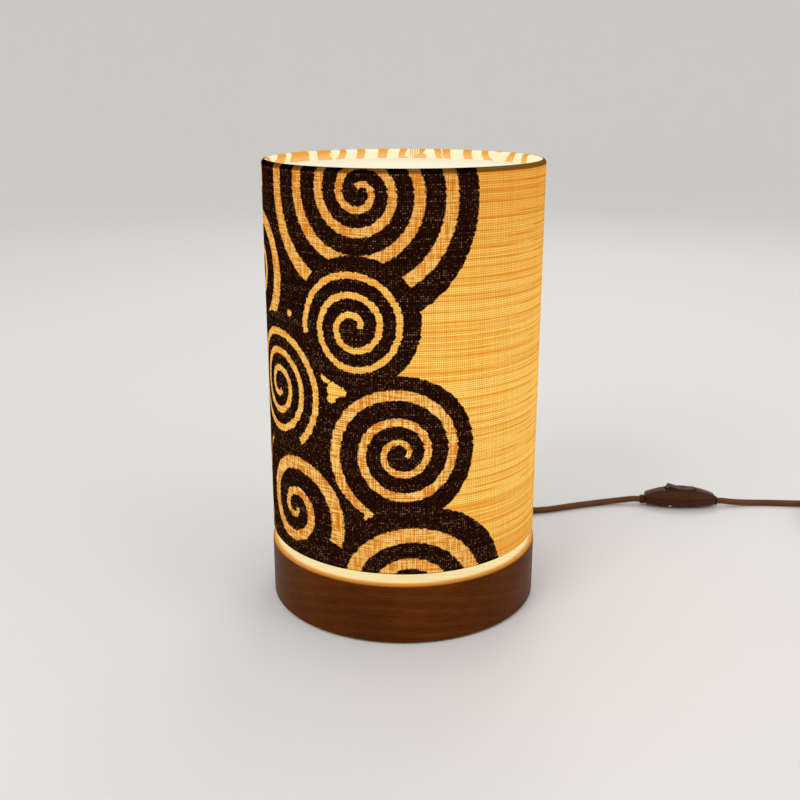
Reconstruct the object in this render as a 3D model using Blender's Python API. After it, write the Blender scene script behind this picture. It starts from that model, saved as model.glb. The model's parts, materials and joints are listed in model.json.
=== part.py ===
"""Table lamp: a cloth drum shade over a turned wooden base, with its lead and in-line rocker switch.

Sizes are in metres, +Z is up, and the origin is the centre of the foot on the table. The lamp looks
towards -Y. The lead leaves the back of the base, lies on the table and ends in a coil and a plug.
"""

import math

import bmesh
import bpy
import numpy as np
from mathutils import Matrix

# Clearances that every fit uses
SEAT = 0.0003  # between two pieces that touch
RUNNING = 0.0004  # round a piece that slides or turns
OVERRUN = 0.0020  # how far a cut runs past what it cuts

# Facets of round pieces, small to large
TINY_SIDES = 8
SMALL_SIDES = 16
MIDDLE_SIDES = 28
LARGE_SIDES = 56
NUT_SIDES = 12
HOOP_SIDES = 6
ROUNDING_STEPS = 3

# Wooden base
BASE_RADIUS = 0.1000
BASE_TOP = 0.0457
BASE_RIM_LIFT = 0.0010
BASE_TOP_EDGE = 0.0024
BASE_LOW_EDGE = 0.0012
RIM_WIDTH = 0.0100
CAVITY_SETBACK = 0.0260  # from the pocket's outer end in to the cavity's wall
ROOF_THICKNESS = 0.0147

# Foot: felt under a cover plate
FELT_THICKNESS = 0.0020
FELT_INSET = 0.0015
COVER_THICKNESS = 0.0020
COVER_PLAY = 0.0005
COVER_SCREWS = 3
COVER_SCREW_INSET = 0.0200
COVER_SCREW_LENGTH = 0.0150
COVER_SCREW_SHANK = 0.0016
COVER_SCREW_HEAD = 0.0034
COVER_SCREW_HEAD_DEPTH = 0.0016

# Threaded nipple that holds the lampholder to the base
NIPPLE_RADIUS = 0.0050
NIPPLE_BORE = 0.0036
NIPPLE_SPARE = 0.0020
NUT_FLATS = 0.0140
NUT_HEIGHT = 0.0040
LOCK_NUT_HEIGHT = 0.0030
WASHER_RADIUS = 0.0110
WASHER_THICKNESS = 0.0015

# Lampholder
HOLDER_CAP_RADIUS = 0.0205
HOLDER_CAP_FOOT = 0.0130
HOLDER_CAP_FLOOR = 0.0035
HOLDER_CAP_SHOULDER = 0.0080
HOLDER_CAP_HEIGHT = 0.0183
HOLDER_CAP_WALL = 0.0033
HOLDER_THREAD = 0.0195
HOLDER_THREAD_DEPTH = 0.0008
HOLDER_THREAD_TURNS = 4
HOLDER_BORE = 0.0146
HOLDER_SPIGOT = 0.0070
HOLDER_FLANGE_RADIUS = 0.0240
HOLDER_FLANGE_RISE = 0.0165
HOLDER_FLANGE_THICKNESS = 0.0020
HOLDER_MOUTH_RISE = 0.0160
INSERT_DROP = 0.0060
INSERT_THICKNESS = 0.0090
SHELL_CONTACT_HEIGHT = 0.0240
SHELL_CONTACT_WALL = 0.0006
CENTRE_CONTACT_HEIGHT = 0.0023
CENTRE_CONTACT_WIDTH = 0.0050
CENTRE_CONTACT_REACH = 0.0070
CENTRE_CONTACT_STRIP = 0.0006
TERMINAL_OFFSET = 0.0090
TERMINAL_HEAD = 0.0024
TERMINAL_HEAD_HEIGHT = 0.0018
TERMINAL_SHANK = 0.0014
TERMINAL_DEPTH = 0.0050

# Bulb with a screw cap
BULB_RADIUS = 0.0175
BULB_WALL = 0.0010
BULB_LENGTH = 0.0990
BULB_NECK_RISE = 0.0160
BULB_SHOULDER_RISE = 0.0300
BULB_BELLY_RISE = 0.0420
BULB_DOME = 0.0240
CAP_THREAD = 0.0131
CAP_THREAD_DEPTH = 0.0009
CAP_TURNS = 5
CAP_LENGTH = 0.0200
CAP_BORE = 0.0120
CAP_TIP_RADIUS = 0.0035
CAP_TIP_HEIGHT = 0.0021
INSULATOR_FOOT = 0.0050
INSULATOR_SLOPE = 0.0033
INSULATOR_RIM = 0.0030
NECK_DEPTH = 0.0110
STEM_RADIUS = 0.0030
STEM_LENGTH = 0.0300
STEM_FLARE_HEIGHT = 0.0060
FILAMENT_WIRE = 0.0006
FILAMENT_SPREAD = 0.0090
FILAMENT_HEIGHT = 0.0260
FILAMENT_ZIGZAGS = 4

# Shade
SHADE_RADIUS = 0.0991
SHADE_LOW = 0.0524
SHADE_TOP = 0.3252
CLOTH = 0.0006
LINER = 0.0004
SHADE_WIRE = 0.0015
HEM_DROP = 0.0070
HEM_STEPS = 3
ARMS = 3
ARM_NOTCH_PLAY = 0.0008
ARM_RUN = 0.0130
ARM_LANDING = 0.0040
COLLAR_WIDTH = 0.0065
COLLAR_THICKNESS = 0.0016
COLLAR_PLAY = 0.0010
RING_NUT_WIDTH = 0.0040
RING_NUT_FLANGE = 0.0060
RING_NUT_FLANGE_HEIGHT = 0.0020
RING_NUT_HEIGHT = 0.0070

# Lead
CORD_RADIUS = 0.00275
CORD_BEVEL_STEPS = 2
CORD_POINT_SPACING = 0.0135
EXIT_AZIMUTH = math.radians(55)
EXIT_HEIGHT = 0.0120
WIRE_RADIUS = 0.0009
WIRE_SPACING = 0.0014

# Strain relief in the back of the base, and the clamp behind it
RELIEF_SHANK = 0.0048
RELIEF_COLLAR = 0.0066
RELIEF_COLLAR_THICKNESS = 0.0018
RELIEF_LENGTH = 0.0240
RELIEF_ROOT = 0.0052
RELIEF_TIP = 0.0037
RELIEF_RIBS = 3
RELIEF_GROOVE = 0.0006
RELIEF_GAP = 0.0006
POCKET_WALL = 0.0260
POCKET_OVERLAP = 0.0080
POCKET_HALF_WIDTH = 0.0150
SHANK_SET_BACK = 0.0020
CLAMP_LENGTH = 0.0100
CLAMP_INSET = 0.0140
CLAMP_THICKNESS = 0.0013
CLAMP_EAR = 0.0130
CLAMP_SCREW_OFFSET = 0.0087
CLAMP_SCREW_SHANK = 0.0014
CLAMP_SCREW_HEAD = 0.0028
CLAMP_SCREW_HEAD_HEIGHT = 0.0018
CLAMP_SCREW_LENGTH = 0.0110
SHEATH_PAST_CLAMP = 0.0160

# In-line switch
SWITCH_X = 0.2556
SWITCH_Y = 0.1535
SWITCH_YAW = math.radians(-3.6)
SWITCH_HALF_LENGTH = 0.0315
SWITCH_HALF_WIDTH = 0.0130
SWITCH_END_HALF_WIDTH = 0.0066
SWITCH_TOP = 0.0166
SWITCH_END_TOP = 0.0110
SWITCH_END_LIFT = 0.0018
SWITCH_SPLIT = 0.0090
SWITCH_SPINE_HALF_WIDTH = 0.0056
SWITCH_SPINE_RISE = 0.0013
SWITCH_ROUNDNESS = 2.6
SWITCH_CORD_HEIGHT = 0.0054
SWITCH_STATION_SHARES = (-1.0, -0.985, -0.93, -0.8, -0.6, -0.35, 0.0, 0.35, 0.6, 0.8, 0.93, 0.985, 1.0)
SWITCH_END_SHARES = {1.0: 0.86, 0.985: 0.96}
CAVITY_HALF_LENGTH = 0.0260
CAVITY_HALF_WIDTH = 0.0046
CAVITY_FLOOR = 0.0024
CAVITY_ROOF = 0.0102
ROCKER_REACH = 0.0136
ROCKER_HALF_WIDTH = 0.0042
ROCKER_PIVOT = 0.0122
ROCKER_END_RISE = 0.0068
ROCKER_MIDDLE_RISE = 0.0052
ROCKER_SKIRT_RISE = 0.0014
ROCKER_HUB = 0.0028
ROCKER_TILT = math.radians(7)
ROCKER_PIN = 0.00125
ROCKER_PIN_REACH = 0.0075
STRIP_REACH = 0.0110
STRIP_HALF_WIDTH = 0.0025
STRIP_THICKNESS = 0.0008
CONTACT_INNER = 0.0090
CONTACT_OUTER = 0.0240
CONTACT_HALF_WIDTH = 0.0030
CONTACT_THICKNESS = 0.0022
CONTACT_NUB = 0.0040
GLAND_COLLAR = 0.0041
GLAND_SHANK = 0.0029
GLAND_SHANK_LENGTH = 0.0040
LEFT_GLAND_LENGTH = 0.0045
RIGHT_GLAND_LENGTH = 0.0022
SWITCH_SCREW_X = 0.0100
SWITCH_SCREW_Y = 0.0086
SWITCH_SCREW_SHANK = 0.0011
SWITCH_SCREW_HEAD = 0.0021
SWITCH_SCREW_HEAD_LOW = 0.0022
SWITCH_SCREW_HEAD_HEIGHT = 0.0014
SWITCH_SCREW_TOP = 0.0128

# Coil of spare lead, past the right edge of the picture
COIL_X = 0.4030
COIL_Y = 0.1060
COIL_RADIUS = 0.0330
COIL_TURNS_PER_LAYER = 2.92
COIL_LOOP_POINTS = 24
COIL_GAP = 0.00055
COIL_REVERSE_SHARE = 0.06
TIE_AZIMUTH = math.radians(200)
TIE_THICKNESS = 0.0008
TIE_GAP = 0.0004
TIE_INNER_GAP = 0.0009
TIE_HALF_WIDTH = 0.0035
TIE_CORNER = 0.0022

# Plug
PLUG_LENGTH = 0.0360
PLUG_HALF_WIDTH = 0.0170
PLUG_HALF_HEIGHT = 0.0068
PLUG_NECK = 0.0052
PLUG_STATION_SHARES = ((0.0, 0.0), (0.1, 0.12), (0.3, 0.42), (0.55, 0.86), (0.72, 1.0), (0.96, 1.0), (1.0, 0.96))
PLUG_ROUNDNESS = 3.2
PLUG_RELIEF_LENGTH = 0.0220
PIN_RADIUS = 0.0020
PIN_LENGTH = 0.0190
PIN_DEPTH = 0.0080
PIN_SPACING = 0.0186

# Route of the lead on the table, chosen by hand: from the strain relief to the switch, from the switch
# to the coil, and from the coil to the plug
LAMP_ROUTE = (
    (0.0820, 0.1160, 0.0108),
    (0.0935, 0.1246, 0.0080),
    (0.1065, 0.1300, 0.0050),
    (0.1205, 0.1336, 0.0032),
    (0.1360, 0.1381, 0.0028),
    (0.1530, 0.1443, 0.0028),
    (0.1700, 0.1499, 0.0028),
    (0.1860, 0.1540, 0.0031),
    (0.2010, 0.1562, 0.0040),
)
WALL_ROUTE = (
    (0.3060, 0.1514, 0.0040),
    (0.3220, 0.1527, 0.0030),
    (0.3390, 0.1527, 0.0028),
    (0.3560, 0.1510, 0.0030),
    (0.3720, 0.1493, 0.0034),
)
PLUG_ROUTE = (
    (0.4290, 0.0690, 0.0093),
    (0.4215, 0.0560, 0.0083),
)
PLUG_X = 0.4130
PLUG_Y = 0.0405
PLUG_HEADING = math.radians(-117)


def clear_scene():
    """Removes every object, so that only the lamp is left."""
    for item in list(bpy.data.objects):
        bpy.data.objects.remove(item)


def finish(name, colour, roughness, metallic=0.0):
    """A plain Principled material."""
    made = bpy.data.materials.new(name)
    made.use_nodes = True
    shader = made.node_tree.nodes["Principled BSDF"]
    shader.inputs["Base Color"].default_value = (*colour, 1)
    shader.inputs["Roughness"].default_value = roughness
    shader.inputs["Metallic"].default_value = metallic
    return made


def place(item, look, parent=None):
    """Links an object to the scene under its parent, with its material."""
    item.data.materials.append(look)
    bpy.context.scene.collection.objects.link(item)
    item.parent = parent
    return item


def mesh_object(name, points, faces, look, parent=None):
    """A mesh object whose faces point outwards, smooth but for its edges."""
    mesh = bpy.data.meshes.new(name)
    mesh.from_pydata([tuple(p) for p in points], [], faces)
    shell = bmesh.new()
    shell.from_mesh(mesh)
    bmesh.ops.recalc_face_normals(shell, faces=shell.faces)
    shell.to_mesh(mesh)
    shell.free()
    mesh.shade_smooth()
    mesh.set_sharp_from_angle(angle=math.radians(35))
    return place(bpy.data.objects.new(name, mesh), look, parent)


def arc(centre, radius, start, end, steps=ROUNDING_STEPS):
    """Points on a circle from one angle to another, in degrees, both ends included."""
    angles = np.radians(np.linspace(start, end, steps + 1))
    return [(centre[0] + radius * math.cos(a), centre[1] + radius * math.sin(a)) for a in angles]


def turned(name, outline, look, sides, parent=None):
    """A closed outline of (radius, height) points, turned about Z."""
    points, faces, rings = [], [], []
    for radius, height in outline:
        count = sides if radius else 1
        rings.append(range(len(points), len(points) + count))
        for i in range(count):
            angle = math.tau * i / sides
            points.append((radius * math.cos(angle), radius * math.sin(angle), height))
    for ring, following in zip(rings, rings[1:] + rings[:1]):
        if len(ring) + len(following) == 2:
            continue
        for i in range(sides):
            j = (i + 1) % sides
            corners = [ring[i % len(ring)], ring[j % len(ring)]]
            corners += [following[j % len(following)], following[i % len(following)]]
            faces.append(list(dict.fromkeys(corners)))
    return mesh_object(name, points, faces, look, parent)


def lofted(name, sections, look, parent=None):
    """Closed sections of equal count, joined in order and capped at both ends."""
    count = len(sections[0])
    points = [p for section in sections for p in section]
    faces = [list(range(count)), list(range(len(points) - count, len(points)))]
    for k in range(len(sections) - 1):
        for i in range(count):
            j = (i + 1) % count
            faces.append([k * count + i, k * count + j, (k + 1) * count + j, (k + 1) * count + i])
    return mesh_object(name, points, faces, look, parent)


def prism(name, outline, half_width, look, parent=None):
    """An outline in the XZ plane, extruded by half_width to either side along Y."""
    sides = [[(x, y, z) for x, z in outline] for y in (-half_width, half_width)]
    return lofted(name, sides, look, parent)


def ring_prism(name, outer, inner, low, high, look, parent=None):
    """The space between two outlines of equal count in the XY plane, from low to high."""
    count = len(outer)
    loops = [(outer, low), (outer, high), (inner, high), (inner, low)]
    points = [(x, y, z) for loop, z in loops for x, y in loop]
    faces = []
    for k in range(4):
        for i in range(count):
            j = (i + 1) % count
            a, b = k * count, (k + 1) % 4 * count
            faces.append([a + i, a + j, b + j, b + i])
    return mesh_object(name, points, faces, look, parent)


def rod(name, radius, low, high, look, sides=SMALL_SIDES, parent=None):
    """A plain round bar along Z."""
    return turned(name, [(0, low), (radius, low), (radius, high), (0, high)], look, sides, parent)


def block(name, low, high, look, parent=None):
    """A box from its low corner to its high corner."""
    outline = [(low[0], low[2]), (high[0], low[2]), (high[0], high[2]), (low[0], high[2])]
    sides = [[(x, y, z) for x, z in outline] for y in (low[1], high[1])]
    return lofted(name, sides, look, parent)


def tube(name, points, radius, look, bevel_steps=CORD_BEVEL_STEPS):
    """A round tube with closed ends along the given points."""
    curve = bpy.data.curves.new(name, "CURVE")
    curve.dimensions = "3D"
    curve.bevel_depth = radius
    curve.bevel_resolution = bevel_steps
    curve.use_fill_caps = True
    spline = curve.splines.new("POLY")
    spline.points.add(len(points) - 1)
    for at, (x, y, z) in zip(spline.points, points):
        at.co = (x, y, z, 1)
    return place(bpy.data.objects.new(name, curve), look)


def cut(target, *cutters):
    """Cuts the cutters out of the target and keeps them as guides."""
    for cutter in cutters:
        modifier = target.modifiers.new("cut_" + cutter.name, "BOOLEAN")
        modifier.operation = "DIFFERENCE"
        modifier.solver = "EXACT"
        modifier.object = cutter
        cutter.hide_render = True
        cutter.display_type = "WIRE"


def smooth_route(route, spacing):
    """Points at an even spacing on a smooth curve through the route's points."""
    known = np.array(route, float)
    padded = np.vstack([2 * known[0] - known[1], known, 2 * known[-1] - known[-2]])
    shares = np.linspace(0, 1, 24, endpoint=False)[:, None]
    pieces = []
    for a, b, c, d in zip(padded, padded[1:], padded[2:], padded[3:]):
        bend = 2 * a - 5 * b + 4 * c - d
        twist = 3 * b - a - 3 * c + d
        pieces.append(b + shares * (c - a) / 2 + shares**2 * bend / 2 + shares**3 * twist / 2)
    line = np.vstack([*pieces, known[-1:]])
    run = np.concatenate([[0], np.cumsum(np.linalg.norm(np.diff(line, axis=0), axis=1))])
    stops = np.linspace(0, run[-1], max(2, round(run[-1] / spacing) + 1))
    return np.stack([np.interp(stops, run, line[:, k]) for k in range(3)], axis=1)


def length_of(points):
    """Length along a line of points."""
    return float(np.linalg.norm(np.diff(points, axis=0), axis=1).sum())


def empty(name, location, yaw, parent=None):
    """A guide that carries a sub-assembly."""
    guide = bpy.data.objects.new(name, None)
    bpy.context.scene.collection.objects.link(guide)
    guide.location = location
    guide.rotation_euler = (0, 0, yaw)
    guide.parent = parent
    return guide


def lie_along_x(item):
    """Turns a piece that was made along Z so that it points along X."""
    item.data.transform(Matrix.Rotation(math.radians(90), 4, "Y"))
    return item


def hexagon(flats, count):
    """Points round a hexagon, its width across flats given."""
    points = []
    for i in range(count):
        angle = math.tau * i / count
        off_flat = (angle + math.pi / 6) % (math.pi / 3) - math.pi / 6
        reach = flats / 2 / math.cos(off_flat)
        points.append((reach * math.cos(angle), reach * math.sin(angle)))
    return points


def circle(radius, count):
    """Points round a circle."""
    return [
        (radius * math.cos(math.tau * i / count), radius * math.sin(math.tau * i / count))
        for i in range(count)
    ]


def ridges(crest, depth, low, high, turns):
    """Outline points up a ridged wall, such as a thread seen from the side."""
    pitch = (high - low) / turns
    points = []
    for i in range(turns):
        points += [(crest - depth, low + i * pitch), (crest, low + (i + 0.5) * pitch)]
    return points + [(crest - depth, high)]


def screw(name, shank, head, head_low, head_high, tip, look, parent=None):
    """A pan-head screw that points up: its head from head_low to head_high, its tip above."""
    taper = shank * 0.3
    point = tip - 1.5 * shank
    outline = [(0, head_low), (head * 0.8, head_low), (head, (head_low + head_high) / 2)]
    outline += [(head, head_high), (shank, head_high), (shank, point), (taper, tip), (0, tip)]
    return turned(name, outline, look, TINY_SIDES, parent)


def relief_outline(low, length, root, tip, ribs):
    """Outline points of a tapered, grooved sleeve from its root at low to its tip."""
    points = [(root, low)]
    pitch = length / (ribs + 1)
    for i in range(ribs):
        share = (i + 1) / (ribs + 1)
        wall = root + (tip - root) * share
        at = low + pitch * (i + 1)
        points += [(wall, at - RELIEF_GAP), (wall - RELIEF_GROOVE, at - RELIEF_GAP / 2)]
        points += [(wall - RELIEF_GROOVE, at + RELIEF_GAP / 2), (wall, at + RELIEF_GAP)]
    return points + [(tip, low + length), (0, low + length)]


# Places along a radius of the base, worked out from the sizes above, from its outside in
RECESS_RADIUS = BASE_RADIUS - RIM_WIDTH
COVER_SCREW_CIRCLE = RECESS_RADIUS - COVER_SCREW_INSET
POCKET_OUTER = BASE_RADIUS - POCKET_WALL
CLAMP_PLACE = POCKET_OUTER - CLAMP_INSET
CAVITY_RADIUS = POCKET_OUTER - CAVITY_SETBACK
POCKET_INNER = CAVITY_RADIUS - POCKET_OVERLAP
SHEATH_END = CLAMP_PLACE - SHEATH_PAST_CLAMP

# Heights that the pieces share, worked out from the sizes above
COVER_LOW = FELT_THICKNESS + SEAT
COVER_HIGH = COVER_LOW + COVER_THICKNESS
RECESS_TOP = COVER_HIGH + SEAT
CAVITY_TOP = BASE_TOP - ROOF_THICKNESS
POCKET_TOP = EXIT_HEIGHT + CORD_RADIUS + SEAT
WASHER_HIGH = CAVITY_TOP - SEAT
NUT_HIGH = WASHER_HIGH - WASHER_THICKNESS - SEAT
NIPPLE_LOW = NUT_HIGH - NUT_HEIGHT - NIPPLE_SPARE
HOLDER_LOW = BASE_TOP + SEAT
HOLDER_FLOOR = HOLDER_LOW + HOLDER_CAP_FLOOR
NIPPLE_HIGH = HOLDER_FLOOR + SEAT + LOCK_NUT_HEIGHT + NIPPLE_SPARE
HOLDER_CAP_HIGH = HOLDER_LOW + HOLDER_CAP_HEIGHT
BODY_SHOULDER = HOLDER_CAP_HIGH + SEAT
FLANGE_HIGH = BODY_SHOULDER + HOLDER_FLANGE_RISE
HOLDER_MOUTH = FLANGE_HIGH + HOLDER_MOUTH_RISE
INSERT_LOW = BODY_SHOULDER - INSERT_DROP
INSERT_HIGH = INSERT_LOW + INSERT_THICKNESS
CONTACT_TOP = INSERT_HIGH + SEAT + CENTRE_CONTACT_HEIGHT
TIP_LOW = CONTACT_TOP + SEAT
INSULATOR_LOW = TIP_LOW + CAP_TIP_HEIGHT + SEAT
CAP_LOW = INSULATOR_LOW + INSULATOR_SLOPE
CAP_HIGH = CAP_LOW + CAP_LENGTH
GLASS_LOW = CAP_HIGH - NECK_DEPTH
COLLAR_LOW = FLANGE_HIGH + SEAT
COLLAR_HIGH = COLLAR_LOW + COLLAR_THICKNESS
COLLAR_BORE = HOLDER_THREAD + COLLAR_PLAY
COLLAR_OUTER = COLLAR_BORE + COLLAR_WIDTH
HEM_HALF = CLOTH + SEAT + SHADE_WIRE
HOOP_RADIUS = SHADE_RADIUS - HEM_HALF
COIL_PITCH = 2 * CORD_RADIUS + COIL_GAP
COIL_LOW = TIE_THICKNESS + TIE_GAP + CORD_RADIUS
COIL_INNER = COIL_RADIUS - COIL_TURNS_PER_LAYER * COIL_PITCH / 2
COIL_OUTER = COIL_INNER + COIL_TURNS_PER_LAYER * COIL_PITCH
PLUG_AXIS = PLUG_HALF_HEIGHT


def make_finishes():
    """Every material of the lamp, by name."""
    return {
        "wood": finish("turned_wood", (0.10, 0.035, 0.012), 0.45),
        "felt": finish("brown_felt", (0.05, 0.03, 0.02), 0.95),
        "board": finish("cover_board", (0.09, 0.08, 0.07), 0.7),
        "steel": finish("zinc_steel", (0.62, 0.61, 0.58), 0.35, 1.0),
        "holder": finish("holder_resin", (0.02, 0.018, 0.016), 0.35),
        "ceramic": finish("white_ceramic", (0.82, 0.80, 0.74), 0.4),
        "brass": finish("brass", (0.78, 0.57, 0.24), 0.3, 1.0),
        "cloth": finish("printed_cloth", (0.75, 0.50, 0.18), 0.9),
        "liner": finish("shade_liner", (0.90, 0.85, 0.70), 0.6),
        "glass": finish("opal_glass", (0.95, 0.90, 0.80), 0.25),
        "tungsten": finish("filament_wire", (0.35, 0.32, 0.30), 0.4, 1.0),
        "sheath": finish("cord_sheath", (0.13, 0.06, 0.02), 0.5),
        "live": finish("live_insulation", (0.20, 0.07, 0.02), 0.5),
        "neutral": finish("neutral_insulation", (0.02, 0.12, 0.40), 0.5),
        "switch": finish("brown_resin", (0.09, 0.04, 0.015), 0.35),
        "tie": finish("cord_tie", (0.03, 0.03, 0.03), 0.8),
    }


def make_base(looks, exit_frame):
    """The wooden base with its cavity, pocket and holes, and what closes it from below."""
    outline = [(NIPPLE_RADIUS + RUNNING, CAVITY_TOP), (NIPPLE_RADIUS + RUNNING, BASE_TOP)]
    outline += arc((BASE_RADIUS - BASE_TOP_EDGE, BASE_TOP - BASE_TOP_EDGE), BASE_TOP_EDGE, 90, 0)
    outline += arc(
        (BASE_RADIUS - BASE_LOW_EDGE, BASE_RIM_LIFT + BASE_LOW_EDGE), BASE_LOW_EDGE, 0, -90, 2
    )
    outline += [(RECESS_RADIUS, BASE_RIM_LIFT), (RECESS_RADIUS, RECESS_TOP)]
    outline += [(CAVITY_RADIUS, RECESS_TOP), (CAVITY_RADIUS, CAVITY_TOP)]
    base = turned("base_body", outline, looks["wood"], LARGE_SIDES)
    pocket = block(
        "pocket_cutter",
        (POCKET_INNER, -POCKET_HALF_WIDTH, RECESS_TOP - OVERRUN),
        (POCKET_OUTER, POCKET_HALF_WIDTH, POCKET_TOP),
        looks["wood"],
        exit_frame,
    )
    bore = rod(
        "cord_bore_cutter",
        RELIEF_SHANK + SEAT,
        POCKET_OUTER - OVERRUN,
        BASE_RADIUS + OVERRUN,
        looks["wood"],
        parent=exit_frame,
    )
    lie_along_x(bore).location.z = EXIT_HEIGHT
    cut(base, pocket, bore)

    cover = turned(
        "base_cover",
        [
            (0, COVER_LOW),
            (RECESS_RADIUS - COVER_PLAY, COVER_LOW),
            (RECESS_RADIUS - COVER_PLAY, COVER_HIGH),
            (0, COVER_HIGH),
        ],
        looks["board"],
        LARGE_SIDES,
    )
    felt_edge = RECESS_RADIUS - FELT_INSET
    turned(
        "felt_pad",
        [(0, 0), (felt_edge, 0), (felt_edge, FELT_THICKNESS), (0, FELT_THICKNESS)],
        looks["felt"],
        LARGE_SIDES,
    )
    for i in range(COVER_SCREWS):
        number = str(i + 1)
        angle = EXIT_AZIMUTH + math.tau * (i + 0.5) / COVER_SCREWS
        spot = (COVER_SCREW_CIRCLE * math.cos(angle), COVER_SCREW_CIRCLE * math.sin(angle), 0)
        screw_tip = COVER_LOW + COVER_SCREW_LENGTH
        sunk = COVER_LOW + COVER_SCREW_HEAD_DEPTH
        outline = [(0, COVER_LOW), (COVER_SCREW_HEAD, COVER_LOW), (COVER_SCREW_SHANK, sunk)]
        outline += [(COVER_SCREW_SHANK, screw_tip - COVER_SCREW_SHANK * 2), (0, screw_tip)]
        fastener = turned("cover_screw_" + number, outline, looks["steel"], TINY_SIDES)
        fastener.location = spot
        hole = COVER_SCREW_SHANK + SEAT
        sink = COVER_SCREW_HEAD + SEAT
        outline = [(0, COVER_LOW - OVERRUN), (sink, COVER_LOW - OVERRUN), (sink, COVER_LOW)]
        outline += [(hole, sunk + SEAT), (hole, screw_tip + OVERRUN), (0, screw_tip + OVERRUN)]
        cutter = turned("cover_screw_cutter_" + number, outline, looks["steel"], SMALL_SIDES)
        cutter.location = spot
        cut(cover, cutter)
        cut(base, cutter)
    return base


def make_nipple(looks):
    """The threaded tube through the base, with its washer and nuts."""
    outline = [(NIPPLE_BORE, NIPPLE_LOW), (NIPPLE_RADIUS, NIPPLE_LOW)]
    outline += [(NIPPLE_RADIUS, NIPPLE_HIGH), (NIPPLE_BORE, NIPPLE_HIGH)]
    turned("nipple_tube", outline, looks["steel"], SMALL_SIDES)
    hole = NIPPLE_RADIUS + SEAT
    outline = [(hole, WASHER_HIGH - WASHER_THICKNESS), (WASHER_RADIUS, WASHER_HIGH - WASHER_THICKNESS)]
    outline += [(WASHER_RADIUS, WASHER_HIGH), (hole, WASHER_HIGH)]
    turned("nipple_washer", outline, looks["steel"], SMALL_SIDES)
    rim, bore = hexagon(NUT_FLATS, NUT_SIDES), circle(hole, NUT_SIDES)
    ring_prism("nipple_nut", rim, bore, NUT_HIGH - NUT_HEIGHT, NUT_HIGH, looks["steel"])
    low = HOLDER_FLOOR + SEAT
    ring_prism("holder_lock_nut", rim, bore, low, low + LOCK_NUT_HEIGHT, looks["steel"])


def make_holder(looks):
    """The lampholder: cap, body, insert, contacts and terminal screws."""
    hole = NIPPLE_RADIUS + SEAT
    wall = HOLDER_CAP_RADIUS - HOLDER_CAP_WALL
    outline = [(hole, HOLDER_LOW), (HOLDER_CAP_FOOT, HOLDER_LOW)]
    outline += [
        (
            HOLDER_CAP_FOOT + (HOLDER_CAP_RADIUS - HOLDER_CAP_FOOT) * math.sin(math.radians(a)),
            HOLDER_LOW + HOLDER_CAP_SHOULDER * (1 - math.cos(math.radians(a))),
        )
        for a in (30, 60, 90)
    ]
    outline += [(HOLDER_CAP_RADIUS, HOLDER_CAP_HIGH), (wall, HOLDER_CAP_HIGH)]
    outline += [(wall, HOLDER_LOW + HOLDER_CAP_SHOULDER), (HOLDER_CAP_FOOT, HOLDER_FLOOR)]
    outline += [(hole, HOLDER_FLOOR)]
    turned("holder_cap", outline, looks["holder"], MIDDLE_SIDES)

    spigot = wall - SEAT
    flange_low = FLANGE_HIGH - HOLDER_FLANGE_THICKNESS
    outline = [(HOLDER_BORE, BODY_SHOULDER - HOLDER_SPIGOT), (spigot, BODY_SHOULDER - HOLDER_SPIGOT)]
    outline += [(spigot, BODY_SHOULDER), (HOLDER_THREAD, BODY_SHOULDER), (HOLDER_THREAD, flange_low)]
    outline += [(HOLDER_FLANGE_RADIUS, flange_low), (HOLDER_FLANGE_RADIUS, FLANGE_HIGH)]
    outline += ridges(
        HOLDER_THREAD, HOLDER_THREAD_DEPTH, FLANGE_HIGH, HOLDER_MOUTH, HOLDER_THREAD_TURNS
    )
    outline += [(HOLDER_BORE, HOLDER_MOUTH)]
    turned("holder_body", outline, looks["holder"], MIDDLE_SIDES)

    edge = HOLDER_BORE - SEAT
    insert = rod("holder_insert", edge, INSERT_LOW, INSERT_HIGH, looks["ceramic"], MIDDLE_SIDES)
    for i, side in enumerate((-1, 1)):
        number = str(i + 1)
        head_high = INSERT_LOW - SEAT
        fastener = screw(
            "terminal_screw_" + number,
            TERMINAL_SHANK,
            TERMINAL_HEAD,
            head_high - TERMINAL_HEAD_HEIGHT,
            head_high,
            INSERT_LOW + TERMINAL_DEPTH,
            looks["brass"],
        )
        fastener.location.x = side * TERMINAL_OFFSET
        cutter = rod(
            "terminal_cutter_" + number,
            TERMINAL_SHANK + SEAT,
            INSERT_LOW - OVERRUN,
            INSERT_LOW + TERMINAL_DEPTH + SEAT,
            looks["brass"],
            TINY_SIDES,
        )
        cutter.location.x = side * TERMINAL_OFFSET
        cut(insert, cutter)

    low = INSERT_HIGH + SEAT
    outline = [(edge - SHELL_CONTACT_WALL, low), (edge, low), (edge, low + SHELL_CONTACT_HEIGHT)]
    outline += [(edge - SHELL_CONTACT_WALL, low + SHELL_CONTACT_HEIGHT)]
    turned("shell_contact", outline, looks["brass"], MIDDLE_SIDES)
    reach, strip = CENTRE_CONTACT_REACH, CENTRE_CONTACT_STRIP
    outline = [(-reach, low), (reach, low), (reach, low + strip), (-reach / 2, low + strip)]
    outline += [(reach / 2, CONTACT_TOP - strip), (reach / 2, CONTACT_TOP), (-reach / 2, CONTACT_TOP)]
    outline += [(-reach, low + strip)]
    prism("centre_contact", outline, CENTRE_CONTACT_WIDTH / 2, looks["brass"])


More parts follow.
